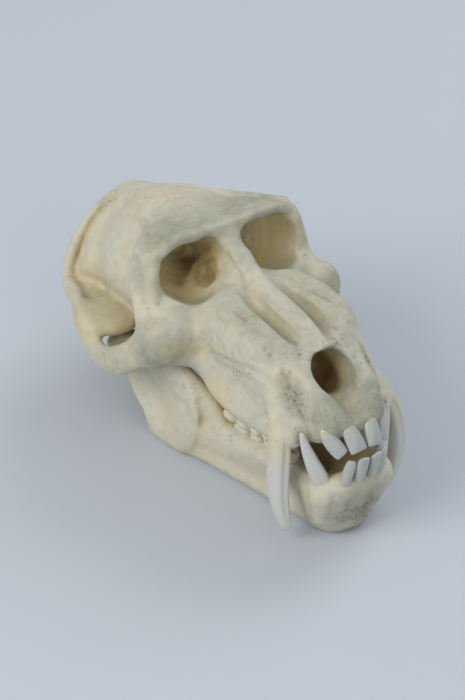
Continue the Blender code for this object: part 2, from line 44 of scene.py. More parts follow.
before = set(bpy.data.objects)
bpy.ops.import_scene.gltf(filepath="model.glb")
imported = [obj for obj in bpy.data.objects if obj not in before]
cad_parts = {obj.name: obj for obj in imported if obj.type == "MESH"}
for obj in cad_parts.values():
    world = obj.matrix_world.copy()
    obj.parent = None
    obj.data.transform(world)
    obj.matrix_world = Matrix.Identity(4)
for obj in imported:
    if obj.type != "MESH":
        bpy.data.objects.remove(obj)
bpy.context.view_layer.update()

MM = 0.001
MIDDLE_Y = 102.8  # mm from the front teeth to the middle of the skull's length
FLAT_SOLE = 0.6  # mm of the jaw's lower border that are worn flat
TO_METRES = Matrix.Scale(MM, 4) @ Matrix.Translation((0, -MIDDLE_Y, -FLAT_SOLE))
FAR = 1e3  # mm, further than anything on the skull

# Steps to each stretch of the curves, and points to each ring
ROD_STEPS, LOFT_STEPS, STROKE_STEPS, TOOTH_STEPS = 3, 4, 4, 3
RING_SIDES = 24

# The skin of the bones, in mm
ROUGH_VOXEL = 2.2  # of the first fused skin
MIDDLE_VOXEL = ROUGH_VOXEL * 0.7
SLOPE_STEP = 0.25  # how far round a point the slope of the blend is felt
LEAST_SLOPE = 0.2  # the square of that slope, at least, or a point would be thrown far
LONGEST_MOVE = 2.5  # of a point in one round of drawing
UNEVEN_LAYERS = ((14, 0.35, 1), (6, 0.18, 2), (2.8, 0.08, 3))  # lump size and height, seed
SEED_SHIFT = (17.3, 5.1, -9.7)  # between the noises of two seeds
STROKE_REACH = 3  # widths of a stroke
BONE_PIT = (0.8, 0.8, 0.55)  # width, depth and stain

# Yellow and brown on the bones, partly yellowed bone but mostly painted warm bounce light and painted
# shade in the hollows: depths in mm below where the skin lay before the hollows were cut
YELLOW_FROM, YELLOW_OVER = 4.0, 8.0
BROWN_FROM, BROWN_OVER, MOST_BROWN = 13.0, 8.0, 0.8
# Yellow in tight valleys is painted shade and warm bounce light, falling the way ambient occlusion does
CREASE_REACH = 3.0  # how far out a valley is felt
CREASE_FROM, CREASE_GAIN, MOST_CREASE = 0.3, 1.1, 0.6
UNCUT_SHARE = 0.15  # of a sunken spot, on skin that no hollow was cut into
CUT_OVER = 2.0
SPOT_END = 1.5  # a spot fades to nothing this many radii from its centre
TURNED_GAIN = 2.5  # how soon skin that turns towards a spot's centre takes its full colour
WALL_BROWN = 0.55  # how brown the nose's side of the right orbit is, as painted shade
BONE_ROUGHNESS = (0.45, 0.65)

# The teeth, in mm
CROWN = 5.2  # height of a cheek tooth above its gum
CUSP_HEIGHT = 1.2
PIT_DEPTH = 0.8  # of the hollow in the middle of a chewing face
PIT_RINGS = ((0.62, 0.15), (0.3, 0.75))  # how wide each ring of that hollow is, and how far down
CHEEK_FOLDS = [(angle, 0.35, 0.16) for angle in (math.pi / 2, -math.pi / 2)]
CHEEK_ROWS = (  # height above the chewing face, and shares of the full length and width
    (CROWN + 5, 0.62, 0.6), (CROWN, 0.86, 0.86), (CROWN / 2, 1, 1), (CUSP_HEIGHT, 0.86, 0.72),
)
FOLD_END = 1.1  # how many times shorter a fold is than its tooth
GUM_LINE = ((30, 39, 57, 75, 82), (47.5, 45, 40.8, 37.2, 36.5))  # Y and height of the upper gum
ROW_SPREAD = 0.03  # how far the rows of cheek teeth part towards the back
BITE_GAP = 0.6  # between the upper and the lower cheek teeth
TOOTH_GAP = 0.5  # between one cheek tooth and the next
NECK_SHARE = 0.55  # of a tooth's length that can be yellowed, counted from its root
NECK_GAIN = 1.6
ENAMEL_ROUGHNESS = (0.12, 0.24)

# The camera, the light and the floor, in metres
CAMERA_ANGLES = (-35.641, 36.0, 2.439)  # round the skull, above the floor and about its own axis
CAMERA_PLACE = Vector((-0.624287, -0.864022, 0.818474))
SENSOR, LENS = 36.0, 145.86  # mm
NEAREST_SEEN = 0.01
FLOOR_ROUGHNESS = 0.7
ROOM_LIGHT = (0.90, 0.95, 1.0)
ROOM_STRENGTH = 0.51
LIGHT_WIDTH = 1.0
LIT_POINT = Vector((0, 0, 0.05))
STUDIO_LIGHTS = (  # name, place, power, colour
    ("left", (-1.40, -0.02, 1.05), 16.0, (1.0, 0.97, 0.91)),
    ("front", (-0.20, -1.50, 0.80), 3.2, (1.0, 0.98, 0.95)),
    ("behind", (1.35, 0.35, 1.25), 11.5, (0.95, 0.97, 1.0)),
)


def blend(a, b, width):
    """The union of two depths, with a fillet about as wide as width."""
    share = np.clip(0.5 + 0.5 * (b - a) / width, 0.0, 1.0)
    return b + (a - b) * share - width * share * (1.0 - share)


def along_bar(points, a, b):
    """How far along the line from a to b each point lies, from 0 to 1, and how far from it."""
    along = b - a
    share = np.clip((points - a) @ along / (along @ along), 0.0, 1.0)
    return share, np.linalg.norm(points - a - share[:, None] * along, axis=1)


def curve_through(rows, steps):
    """Rows of numbers on a smooth curve through three or more of them, steps to each stretch."""
    rows = np.array(rows, float)
    if len(rows) < 3:
        return rows
    before = np.vstack([2 * rows[0] - rows[1], rows[:-1]])
    after = np.vstack([rows[1:], 2 * rows[-1] - rows[-2]])
    slope = (after - before) / 2
    out = []
    for i in range(len(rows) - 1):
        for t in np.arange(steps) / steps:
            h = np.array([2 * t**3 - 3 * t**2 + 1, t**3 - 2 * t**2 + t, 3 * t**2 - 2 * t**3, t**3 - t**2])
            out.append(h @ np.array([rows[i], slope[i], rows[i + 1], slope[i + 1]]))
    return np.array([*out, rows[-1]])


def bridge_all(bm, loops):
    """Joins each loop of edges to the next and closes the first and the last one."""
    for first, second in zip(loops[:-1], loops[1:]):
        bmesh.ops.bridge_loops(bm, edges=first + second)
    bmesh.ops.contextual_create(bm, geom=loops[0])
    bmesh.ops.contextual_create(bm, geom=loops[-1])


class Egg:
    """An ellipsoid, tipped by pitch degrees about the X axis."""

    def __init__(self, centre, radii, pitch=0.0):
        self.centre = np.array(centre, float)
        self.radii = np.array(radii, float)
        self.turn = np.array(Matrix.Rotation(math.radians(pitch), 3, "X"))

    def depth(self, points):
        local = (points - self.centre) @ self.turn
        near = np.linalg.norm(local / self.radii, axis=1)
        steep = np.linalg.norm(local / self.radii**2, axis=1) + 1e-9
        return near * (near - 1.0) / steep

    def box(self):
        reach = np.full(3, self.radii.max())
        return self.centre - reach, self.centre + reach

    def add_to(self, bm):
        made = bmesh.ops.create_uvsphere(bm, u_segments=24, v_segments=16, radius=1.0)["verts"]
        for vert in made:
            vert.co = Vector(self.centre + self.turn @ (np.array(vert.co) * self.radii))


class Rod:
    """A round bar along a smooth curve of (x, y, z, radius), squashed by the factors in squash."""

    def __init__(self, points, squash=(1.0, 1.0, 1.0)):
        self.squash = np.array(squash, float)
        rows = curve_through(points, ROD_STEPS)
        self.ends = rows[:, :3] / self.squash
        self.radii = rows[:, 3]

    def bars(self):
        return zip(self.ends[:-1], self.ends[1:], self.radii[:-1], self.radii[1:])

    def depth(self, points):
        best = np.full(len(points), FAR)
        for a, b, ra, rb in self.bars():
            share, gap = along_bar(points / self.squash, a, b)
            best = np.minimum(best, gap - ra - (rb - ra) * share)
        return best * self.squash.min()

    def box(self):
        reach = self.radii.max() * self.squash
        centres = self.ends * self.squash
        return centres.min(axis=0) - reach, centres.max(axis=0) + reach

    def add_to(self, bm):
        made = []
        for end, radius in zip(self.ends, self.radii):
            place = Matrix.Translation(Vector(end))
            ball = bmesh.ops.create_uvsphere(bm, u_segments=12, v_segments=8, radius=radius, matrix=place)
            made += ball["verts"]
        for a, b, ra, rb in self.bars():
            along = Vector(b - a)
            turn = along.to_track_quat("Z", "Y").to_matrix().to_4x4()
            place = Matrix.Translation(Vector((a + b) / 2)) @ turn
            bar = bmesh.ops.create_cone(
                bm, cap_ends=True, segments=12, radius1=ra, radius2=rb, depth=along.length, matrix=place
            )
            made += bar["verts"]
        for vert in made:
            vert.co = Vector(np.array(vert.co) * self.squash)


class Loft:
    """A bar along Y with rounded box sections: rows of (y, half width, bottom, top, corner radius)."""

    def __init__(self, rows):
        self.rows = curve_through(rows, LOFT_STEPS)

    def depth(self, points):
        y = points[:, 1]
        half, low, high, corner = (np.interp(y, self.rows[:, 0], self.rows[:, i]) for i in range(1, 5))
        corner = np.minimum(corner, np.minimum(half, (high - low) / 2))
        across = np.abs(points[:, 0]) - half + corner
        upright = np.abs(points[:, 2] - (high + low) / 2) - (high - low) / 2 + corner
        outer = np.hypot(np.maximum(across, 0), np.maximum(upright, 0))
        flat = outer + np.minimum(np.maximum(across, upright), 0) - corner
        ends = np.maximum(self.rows[0, 0] - y, y - self.rows[-1, 0])
        return np.maximum(flat, ends)

    def box(self):
        half = self.rows[:, 1].max()
        low = np.array([-half, self.rows[0, 0], self.rows[:, 2].min()])
        return low, np.array([half, self.rows[-1, 0], self.rows[:, 3].max()])

    def add_to(self, bm):
        loops = []
        for y, half, low, high, corner in self.rows:
            corner = min(corner, half, (high - low) / 2)
            made = bmesh.ops.create_circle(bm, segments=RING_SIDES, radius=1.0)["verts"]
            for vert in made:
                x, z = vert.co.x, vert.co.y
                inner = half - corner, (high - low) / 2 - corner
                vert.co = (
                    math.copysign(inner[0], x) * (abs(x) > 1e-6) + corner * x,
                    y,
                    (high + low) / 2 + math.copysign(inner[1], z) * (abs(z) > 1e-6) + corner * z,
                )
            loops.append(list({edge for vert in made for edge in vert.link_edges}))
        bridge_all(bm, loops)


# The cranium's swellings and bars, each with the width of the fillet that joins it to the rest.
MUZZLE = Loft([
    (9.8, 7, 58.5, 63, 2), (13, 12.5, 56, 66.5, 4.5), (19, 17.5, 52, 70, 7), (27, 22, 49, 75, 11),
    (36, 23.5, 47, 81, 16), (46, 26.3, 44, 86, 15), (58, 29.5, 41, 88.5, 7), (76, 30.8, 38.5, 88.5, 8),
    (88, 30.3, 39, 88, 10), (98, 29, 43, 87, 12), (106, 26, 50, 85, 12), (110, 24, 53, 83, 12),
])
GUM_BAR = Rod([
    (12, 17, 58.5, 5), (20, 24.5, 55.5, 5), (23.3, 33, 50.5, 5.4), (22.6, 45, 46.8, 5.2),
    (21.9, 60, 43.2, 5.4), (21.4, 76, 40.2, 5.4), (19.5, 84, 41.5, 4.5),
])
FACE_CORE = Loft([(96, 25, 48, 82, 10), (108, 25, 54, 80, 10), (120, 21, 56, 79, 9), (134, 18, 56, 80, 9)])
NASAL_RIDGE = Rod([
    (0, 40, 83, 4), (0, 54, 82.6, 5.4), (0, 66, 82.2, 7), (0, 80, 83, 7.2), (0, 94, 86, 7),
    (0, 106, 91.6, 7),
])
CANINE_SWELLING = Rod([(27, 31.5, 53, 6.2), (24.5, 38.5, 61.5, 5.2), (23, 47, 71, 4.2)])
GLABELLA = Rod([(0, 110, 86, 7), (0, 118, 94, 8), (0, 126, 94, 8)])
BROW = Rod([
    (0, 121.5, 101.5, 4.5), (9, 120, 104.2, 3.2), (20, 119.5, 105, 2.8), (31, 120.5, 103, 3),
    (39, 123.5, 98, 3.4),
])
ORBIT_SIDE = Rod([
    (39, 119, 95, 3.4), (40.2, 117.5, 88, 3.8), (40.6, 115.5, 80, 4.8), (40.5, 111.5, 72, 6.5),
])
SIDE_PLATE = Rod([
    (39, 124, 96.5, 3.2), (40.6, 124.2, 88, 3.4), (41.8, 122.5, 80, 3.6), (42.5, 117, 73, 4.5),
])
SIDE_EDGE = Rod([
    (39, 129, 98.3, 2.8), (41.5, 129.5, 91, 2.6), (43, 128.5, 82, 2.7), (44.4, 121.5, 76, 3.2),
    (45.5, 112.5, 69, 5),
])
ORBIT_WALL = Egg((31.5, 128, 86), (7, 12, 14))
TEMPLE_FILL = Egg((26, 132, 88), (10, 16, 13))
CHEEK = Rod([(20, 103, 68, 9), (32, 103.5, 65, 9), (41, 104.5, 65, 8.6), (47, 109, 61, 7.5)])
CHEEK_LUMP = Egg((42.5, 102, 67), (10.5, 9.5, 10.5))
ORBIT_FLOOR = Egg((31, 113, 75), (11, 11, 9))
CHEEK_ROOT = Rod([(26, 92, 58, 7), (32, 97, 60.5, 7.2), (38, 101, 62.5, 7.2)])
ARCH = Rod([
    (47, 105, 63.5, 7.5), (52.5, 112, 57, 6.8), (56, 121, 49, 7), (56.7, 130, 44.6, 6.8),
    (56.7, 139.5, 44.8, 6.6), (56, 148, 47.6, 6.2), (53.4, 157, 49.8, 6), (48.7, 166, 49.6, 6),
    (44, 176, 47.5, 6), (40.5, 186, 45, 5.4),
], squash=(0.48, 1, 1))
SHELF = Egg((43, 149, 52.5), (15.5, 14.2, 5.5))
BRAINCASE = Egg((0, 155, 68), (37.5, 38, 31), pitch=-10)
ROOF = Loft([
    (118.5, 32.5, 88, 106.3, 3), (128, 31, 84, 105, 5), (140, 26, 82, 101.8, 7), (157, 18, 78, 96, 8),
    (172, 11, 72, 92, 7), (188, 6, 68, 87, 5), (199, 3.5, 68, 82.5, 3),
])
TEMPLE_LINE = Rod([
    (39, 129, 98.5, 3), (30, 139, 99.3, 2.2), (21, 156, 95, 2), (10.5, 172, 92.8, 2), (2, 194, 82.5, 3),
])
NAPE_CREST = Rod([
    (0, 200.5, 80, 4), (12, 201.5, 76.5, 2.8), (22, 201, 69, 2.6), (30, 199.5, 60.5, 2.6),
    (36.5, 196, 50, 2.8), (39.5, 188, 44, 3.4), (40, 178, 44, 4),
])
NAPE_VALLEY = Rod([(5, 190, 79, 5), (15, 191, 74.5, 5), (24, 189, 67, 5.5), (30, 184, 58, 6)])
NAPE = Egg((0, 177, 58), (31, 21, 23), pitch=-20)
NAPE_FILL = Rod([(0, 192, 71, 7), (16, 193, 61, 6), (27, 190, 51, 5.5), (34, 180, 43, 6)])
EAR_ROOT = Rod([(33, 156, 47, 9), (37, 166, 44, 7.5), (36, 175, 43, 6.5)])
SKULL_BASE = Rod([(0, 172, 42, 9), (0, 152, 42, 9), (0, 132, 46, 9), (0, 112, 52, 9)])
EAR_BULB = Egg((19, 156, 39), (7, 12, 7))
NECK_KNUCKLE = Egg((12, 178, 37), (5, 9, 5.5), pitch=30)
WING_PLATE = Rod([(14, 96, 44, 5), (13, 106, 40, 3.5), (13, 116, 40, 3)], squash=(0.7, 1, 1))
TEMPLE_WING = Egg((22, 132, 66), (12, 18, 22))

CRANIUM_ADDED = [
    (MUZZLE, 1), (NASAL_RIDGE, 5), (BRAINCASE, 10), (ROOF, 8), (GLABELLA, 8), (FACE_CORE, 6),
    (TEMPLE_WING, 8), (NAPE, 8), (NAPE_FILL, 6), (NAPE_VALLEY, 8), (SKULL_BASE, 6), (GUM_BAR, 3),
    (CHEEK, 8), (CHEEK_LUMP, 8), (CHEEK_ROOT, 6), (BROW, 4), (ORBIT_FLOOR, 6), (TEMPLE_FILL, 6),
    (ORBIT_WALL, 5), (ORBIT_SIDE, 4), (SIDE_PLATE, 3), (SIDE_EDGE, 2.5), (SHELF, 4), (ARCH, 4),
    (EAR_ROOT, 6), (CANINE_SWELLING, 5), (TEMPLE_LINE, 2.5), (NAPE_CREST, 3), (EAR_BULB, 3),
    (NECK_KNUCKLE, 3), (WING_PLATE, 4),
]

# The cranium's hollows. The nasal ridge is left standing between the grooves cut along the muzzle.
NOSE_GROOVE = Rod([
    (6.6, 108, 95.5, 1), (7.4, 97, 91.4, 1.8), (8.4, 86, 88, 2.9), (9.3, 74, 86, 3.8), (9.5, 63, 85.8, 4),
    (9, 54, 86.6, 3.5), (7.8, 45, 87.4, 2.8), (6.4, 37, 87, 1.8), (5, 30, 86, 1),
])
ORBIT_TOP = Rod([(12.8, 110.5, 97.4, 7.6), (12.8, 117, 96, 7.6), (12, 125, 90, 6), (11, 134, 86, 4.5)])
ORBIT_BOTTOM = Rod([
    (23.4, 110, 91.6, 13.6), (23.4, 116, 90, 13.4), (18.5, 127, 87.2, 8.8), (13, 140, 86, 4.5),
])
NOSE_OPENING = Rod([(0, 23, 83, 9), (0, 33, 76.5, 10.5), (0, 46, 70, 9)])
NOSE_SILL = Rod([(0, 10, 69, 4), (0, 18, 71.5, 5.8), (0, 28, 76, 8.5)])
PALATE = Rod([(0, 24, 50, 5), (0, 34, 45, 10), (0, 50, 41, 12), (0, 70, 36, 13), (0, 100, 30, 15)])
REAR_NOSTRILS = Rod([(0, 104, 38, 8), (0, 92, 46, 7.5), (0, 80, 54, 6)])
SPINE_HOLE = Rod([(0, 196, 30, 8.5), (0, 182, 44, 8.5), (0, 172, 56, 10)])
CANINE_HOLLOW = Egg((38, 66, 58), (10, 22, 11))
CANINE_NOTCH = Rod([(19.5, 14, 38, 5), (22, 18, 49, 4.6), (24, 22, 60, 3.4)])

CRANIUM_CUT = [
    (NOSE_GROOVE, 3), (ORBIT_TOP, 1.8), (ORBIT_BOTTOM, 1.5), (NOSE_OPENING, 1.5), (NOSE_SILL, 3),
    (PALATE, 4), (REAR_NOSTRILS, 3), (SPINE_HOLE, 3), (CANINE_HOLLOW, 8), (CANINE_NOTCH, 2),
]

# The lower jaw, one side of it; the middle of the chin lies on X = 0.
JAW_EDGE = Rod([
    (8.5, 24, 8, 7.6), (13, 39, 6.6, 6.6), (17, 56, 6, 6), (20.5, 70, 6, 6), (25, 86, 5.8, 5.8),
    (30, 100, 5.8, 5.6), (33, 110, 5.6, 5.4), (34.3, 117, 5.6, 5.4),
])
JAW_MIDDLE = Rod([
    (11, 24, 20, 7.5), (13.5, 40, 18, 6.2), (17, 58, 16, 6), (21.5, 76, 14, 6), (27, 95, 16, 6),
])
TOOTH_BAR = Rod([
    (0, 9.5, 31.5, 6), (7.5, 10, 31.5, 6), (14.5, 16, 28.5, 6.2), (17, 29, 28, 6.2), (18.3, 45, 27, 6.2),
    (19.3, 60, 23.6, 6.2), (21, 75, 20.6, 6.2), (23.5, 86, 20.5, 6),
])
CHIN = Rod([(0, 12, 21, 7), (6.5, 13, 21, 7), (11, 20, 20, 7)])
CHIN_FOOT = Rod([(0, 17, 9.5, 9), (4.5, 19, 9, 9), (0, 27, 10, 9)])
JAW_CANINE_SWELLING = Rod([(16.3, 14.5, 25, 5.2), (14, 17, 14, 5)])
RAMUS = Egg((33.5, 110, 26), (4.5, 23, 24), pitch=-12)
RAMUS_FRONT = Rod([
    (23, 81, 22.5, 6), (26, 87.5, 32, 5.8), (29, 95, 39, 5), (33, 104.5, 45, 4.6), (36, 119.5, 54, 3.6),
], squash=(0.8, 1, 1))
RAMUS_REAR = Rod([(35.3, 119, 12, 5), (37, 129, 21, 4.6), (38, 137, 33, 4.2), (38.5, 143, 39, 3.6)])
RAMUS_TOP = Rod([(36, 119.5, 51, 3.6), (37.2, 131, 44.5, 3.6), (38.5, 142, 41.5, 3.8)])
JAW_KNUCKLE = Rod([(32, 143, 40, 3.6), (43, 144, 40, 3.6)])
JAW_ADDED = [
    (JAW_EDGE, 1), (JAW_MIDDLE, 6), (TOOTH_BAR, 6), (CHIN, 8), (CHIN_FOOT, 8),
    (JAW_CANINE_SWELLING, 5), (RAMUS, 6), (RAMUS_FRONT, 4), (RAMUS_REAR, 4), (RAMUS_TOP, 4),
    (JAW_KNUCKLE, 3),
]
CHEWING_HOLLOW = Egg((43, 112, 26), (7, 15, 15), pitch=-12)
JAW_CUT = [(CHEWING_HOLLOW, 4)]


def folded(points, both=True):
    """A copy of the points, with those on the right mirrored to the left where both is true."""
    local = np.array(points)
    if both:
        local[:, 0] = np.abs(local[:, 0])
    return local


def depth_of(points, added, cut):
    """How far outside the bone each point is, in mm; both sides of the skull read the same forms."""
    side = folded(points)
    total = np.full(len(side), FAR)
    for sign, forms in ((1, added), (-1, cut)):
        for form, width in forms:
            low, high = form.box()
            reach = 3 * width + ROUGH_VOXEL + LONGEST_MOVE
            near = ((side > low - reach) & (side < high + reach)).all(axis=1)
            if near.any():
                total[near] = sign * blend(sign * total[near], form.depth(side[near]), width)
    return total


def new_object(name, data):
    obj = bpy.data.objects.new(name, data)
    bpy.context.scene.collection.objects.link(obj)
    return obj


def mesh_object(name, bm):
    """An object with what was built in bm, which is freed."""
    mesh = bpy.data.meshes.new(name)
    bm.to_mesh(mesh)
    bm.free()
    return new_object(name, mesh)


def apply_modifiers(obj):
    graph = bpy.context.evaluated_depsgraph_get()
    mesh = bpy.data.meshes.new_from_object(obj.evaluated_get(graph))
    obj.modifiers.clear()
    old = obj.data
    obj.data = mesh
    bpy.data.meshes.remove(old)


def fuse(obj, voxel):
    remesh = obj.modifiers.new("fuse", "REMESH")
    remesh.mode = "VOXEL"
    remesh.voxel_size = voxel
    remesh.adaptivity = 0.0
    apply_modifiers(obj)


def fused(name, forms):
    """The forms and their mirror images as one closed mesh in mm, by a voxel remesh."""
    bm = bmesh.new()
    for form, _ in forms:
        form.add_to(bm)
    both = bm.verts[:] + bm.edges[:] + bm.faces[:]
    copy = bmesh.ops.duplicate(bm, geom=both)["geom"]
    flipped = [item for item in copy if isinstance(item, bmesh.types.BMVert)]
    bmesh.ops.scale(bm, vec=(-1, 1, 1), verts=flipped)
    bmesh.ops.reverse_faces(bm, faces=[item for item in copy if isinstance(item, bmesh.types.BMFace)])
    obj = mesh_object(name, bm)
    fuse(obj, ROUGH_VOXEL)
    return obj


def triples(items, name):
    flat = np.empty(len(items) * 3, np.float32)
    items.foreach_get(name, flat)
    return flat.reshape(-1, 3).astype(float)


def points_of(mesh):
    return triples(mesh.vertices, "co")


def normals_of(mesh):
    return triples(mesh.vertex_normals, "vector")


def put_points(mesh, points):
    mesh.vertices.foreach_set("co", points.astype(np.float32).ravel())
    mesh.update()


def draw_onto(mesh, added, cut, rounds):
    """Each point moved along the slope of the blend until it lies on its surface."""
    points = points_of(mesh)
    corners = np.array([(1, 1, 1), (1, -1, -1), (-1, 1, -1), (-1, -1, 1)], float)
    for _ in range(rounds):
        around = [depth_of(points + SLOPE_STEP * corner, added, cut) for corner in corners]
        rise = sum(value[:, None] * corner for value, corner in zip(around, corners))
        slope = rise / (len(corners) * SLOPE_STEP)
        here = sum(around) / len(corners)
        move = here / np.maximum((slope**2).sum(axis=1), LEAST_SLOPE)
        points -= slope * np.clip(move, -LONGEST_MOVE, LONGEST_MOVE)[:, None]
    put_points(mesh, points)


def bone_skin(name, added, cut, step):
    """One bone in mm: fused and hollowed roughly, then remeshed finer and drawn onto the blend."""
    obj = fused(name, added)
    cutter = fused(f"{name}_hollows", cut)
    hollow = obj.modifiers.new("hollow", "BOOLEAN")
    hollow.operation = "DIFFERENCE"
    hollow.object = cutter
    apply_modifiers(obj)
    bpy.data.objects.remove(cutter)
    for voxel, rounds in ((ROUGH_VOXEL, 3), (MIDDLE_VOXEL, 2), (step, 2)):
        fuse(obj, voxel)
        draw_onto(obj.data, added, cut, rounds)
    return obj


class Stroke:
    """A groove pressed along a line on the bone, or a pit at a single point, in mm.

    Stain is how brown it is, from 0 to 1. Unless it is on both sides, it is on the skull's left
    where x is positive.
    """

    def __init__(self, points, wide, deep, stain, both=True):
        self.line = curve_through(points, STROKE_STEPS)
        self.wide = wide
        self.deep = deep
        self.stain = stain
        self.both = both

    def share(self, points):
        """How strongly the stroke is felt at each point, from 0 to 1."""
        local = folded(points, self.both)
        out = np.zeros(len(local))
        low = self.line.min(axis=0) - STROKE_REACH * self.wide
        high = self.line.max(axis=0) + STROKE_REACH * self.wide
        near = ((local > low) & (local < high)).all(axis=1)
        part = local[near]
        best = np.linalg.norm(part - self.line[0], axis=1)
        for a, b in zip(self.line[:-1], self.line[1:]):
            best = np.minimum(best, along_bar(part, a, b)[1])
        out[near] = np.exp(-((best / self.wide) ** 2))
        return out


def work_in(mesh, strokes):
    """Presses the strokes into the skin along its normals."""
    points, normals = points_of(mesh), normals_of(mesh)
    total = np.zeros(len(points))
    for stroke in strokes:
        total += stroke.deep * stroke.share(points)
    put_points(mesh, points - normals * total[:, None])


def roughen(mesh):
    """Moves the skin in and out by layers of smooth noise."""
    points, normals = points_of(mesh), normals_of(mesh)
    rise = np.zeros(len(points))
    for size, height, seed in UNEVEN_LAYERS:
        shift = Vector([seed * step for step in SEED_SHIFT])
        rise += height * np.array([noise.noise(Vector(point) / size + shift) for point in points])
    put_points(mesh, points + normals * rise[:, None])


def patch(points, spots, both=True):
    """How strongly each point lies in soft egg-shaped spots of (centre, radii, strength)."""
    local = folded(points, both)
    out = np.zeros(len(local))
    for centre, radii, strength in spots:
        near = np.linalg.norm((local - np.array(centre)) / np.array(radii), axis=1)
        out = np.maximum(out, strength * np.clip(SPOT_END - near, 0.0, 1.0))
    return out


def facing(points, normals, spots):
    """Like patch, but only where the skin faces the centre of its spot."""
    side = np.ones(points.shape)
    side[points[:, 0] < 0, 0] = -1.0
    local, ahead = points * side, normals * side
    out = np.zeros(len(points))
    for centre, radii, strength in spots:
        way = np.array(centre) - local
        way /= np.maximum(np.linalg.norm(way, axis=1), 1e-6)[:, None]
        turned = np.clip((way * ahead).sum(axis=1) * TURNED_GAIN, 0.0, 1.0)
        out = np.maximum(out, turned * patch(points, [(centre, radii, strength)]))
    return out


def keep_value(mesh, name, values):
    """Stores one number per point for the material to read."""
    layer = mesh.attributes.new(name, "FLOAT", "POINT")
    layer.data.foreach_set("value", np.clip(values, 0.0, 1.0).astype(np.float32))


# Fine lines on the bones.
GROOVES = [
    # the rough edge along the muzzle's flat top
    Stroke([
        (33.5, 91.5, 69), (30, 83, 67.5), (30, 71, 70), (29.5, 57.5, 74), (27, 46, 75),
        (23, 39.5, 73.5), (21, 33, 71.5),
    ], 1.7, 0.8, 0.12),
    Stroke([
        (31.5, 88.5, 64.5), (28.5, 77, 62.5), (28.5, 61, 67), (28.5, 46.5, 70),
    ], 3.0, 0.6, 0.0),
    # finger-like bumps where that edge begins
    Stroke([(30.5, 91, 73), (30.5, 88.5, 69.5)], 0.8, 0.9, 0.15),
    Stroke([(30.5, 85.5, 77.5), (30.5, 83.5, 72.5)], 0.8, 0.9, 0.15),
    Stroke([(31, 80.5, 79.5), (31, 77.5, 73)], 0.8, 0.8, 0.15),
    Stroke([(30.5, 74, 76.5), (30.5, 72, 71.5)], 0.8, 0.7, 0.12),
    # fissures in the flat top
    Stroke([(-21, 80, 88.5), (-21, 75.5, 88.5), (-21, 71, 88.5)], 0.9, 1.0, 0.7, both=False),
    Stroke([(-21.5, 65.5, 88.5), (-20.5, 59, 88.5)], 0.6, 0.4, 0.15, both=False),
    Stroke([(-25.5, 87, 86.5), (-27.5, 81.5, 86), (-27.5, 77, 87)], 0.7, 0.4, 0.15, both=False),
    Stroke([(17.5, 76.5, 88.5), (18.5, 71, 88.5), (20, 64, 88.5)], 0.9, 0.9, 0.6, both=False),
    Stroke([(43, 100.5, 77.5), (45.5, 98, 76), (48, 96, 73)], 0.9, 0.9, 0.2, both=False),
    # seams beside the nose ridge
    Stroke([(5, 100, 92.5), (6, 95, 89), (7, 88, 86)], 0.6, 0.6, 0.4),
    Stroke([(7.5, 78, 83), (8, 70.5, 82.5), (8, 60, 83), (7.6, 50, 84.5)], 1.2, 0.5, 0.1),
    # seam between the bone of the front teeth and the cheek side
    Stroke([
        (21, 41, 78), (21, 36, 73.5), (21.5, 31.5, 70), (21.5, 27, 66.5), (21, 24, 61.5),
    ], 0.8, 0.7, 0.4),
    # the shallow trough from the nose opening to the front teeth
    Stroke([(0.5, 26.5, 66.5), (-0.5, 18, 65.5), (-1, 12.5, 65)], 3.6, 1.3, 0.0, both=False),
    # the hollow under the eye socket
    Stroke([(49, 94.5, 69.5), (42, 91.5, 66.5), (34, 90, 63.5)], 5.5, 1.6, 0.0),
    # folds inside the nape crest
    Stroke([
        (6.5, 201.5, 82), (14.5, 199.5, 77), (21.5, 198, 69.5), (31.5, 189, 66), (36, 185.5, 59),
    ], 2.4, 0.9, 0.08),
    # seam down the side plate of the socket
    Stroke([(31.5, 136.5, 101.5), (32, 132.5, 101.5), (35.5, 130, 101.5)], 0.8, 0.6, 0.3),
    Stroke([(33.5, 148.5, 81.5), (36, 145.5, 74.5), (36, 143, 66.5)], 0.7, 0.4, 0.12),
]
PITS = [
    (-23.5, 52, 85.5), (-22.5, 49.5, 84), (-20.5, 42, 79.5), (-18.5, 39.5, 79), (1, 63, 90),
    (-35.5, 165.5, 73), (-10, 197.5, 78.5), (-10.5, 170, 95.5), (-43.5, 123, 90.5), (-41.5, 110.5, 81.5),
    (-35, 92.5, 70), (37.5, 111, 83), (39.5, 109, 81), (4, 99.5, 94.5), (7.5, 45, 84.5), (8, 41.5, 83.5),
    (6, 48, 85), (-21, 168.5, 90.5),
]
CHIN_GROOVES = [
    # the crease behind the canine's root
    Stroke([
        (21, 21.5, 32), (22, 18, 28), (21.5, 16, 20), (18.5, 17.5, 10.5),
    ], 2.0, 1.1, 0.05),
    # the groove down the middle of the chin
    Stroke([(3.5, 4.5, 23.5), (2.5, 6, 17), (2.5, 8, 9)], 1.4, 1.2, 0.25, both=False),
    Stroke([(-6.5, 4.5, 26), (-7.5, 6.5, 18), (-7, 9, 9)], 1.6, 0.5, 0.1, both=False),
    Stroke([(-14.5, 7, 29.5), (-15, 8, 22.5), (-13.5, 10.5, 13)], 1.6, 0.5, 0.08, both=False),
    # ripples on the side of the jaw
    Stroke([(36.5, 106.5, 32), (36.5, 94, 31.5), (34.5, 87.5, 23)], 3.0, 0.7, 0.05),
    Stroke([(29, 79, 10.5), (25.5, 65.5, 9.5), (22, 51, 8)], 3.0, 0.6, 0.0),
]
GROOVES += [Stroke([place], *BONE_PIT, both=False) for place in PITS]
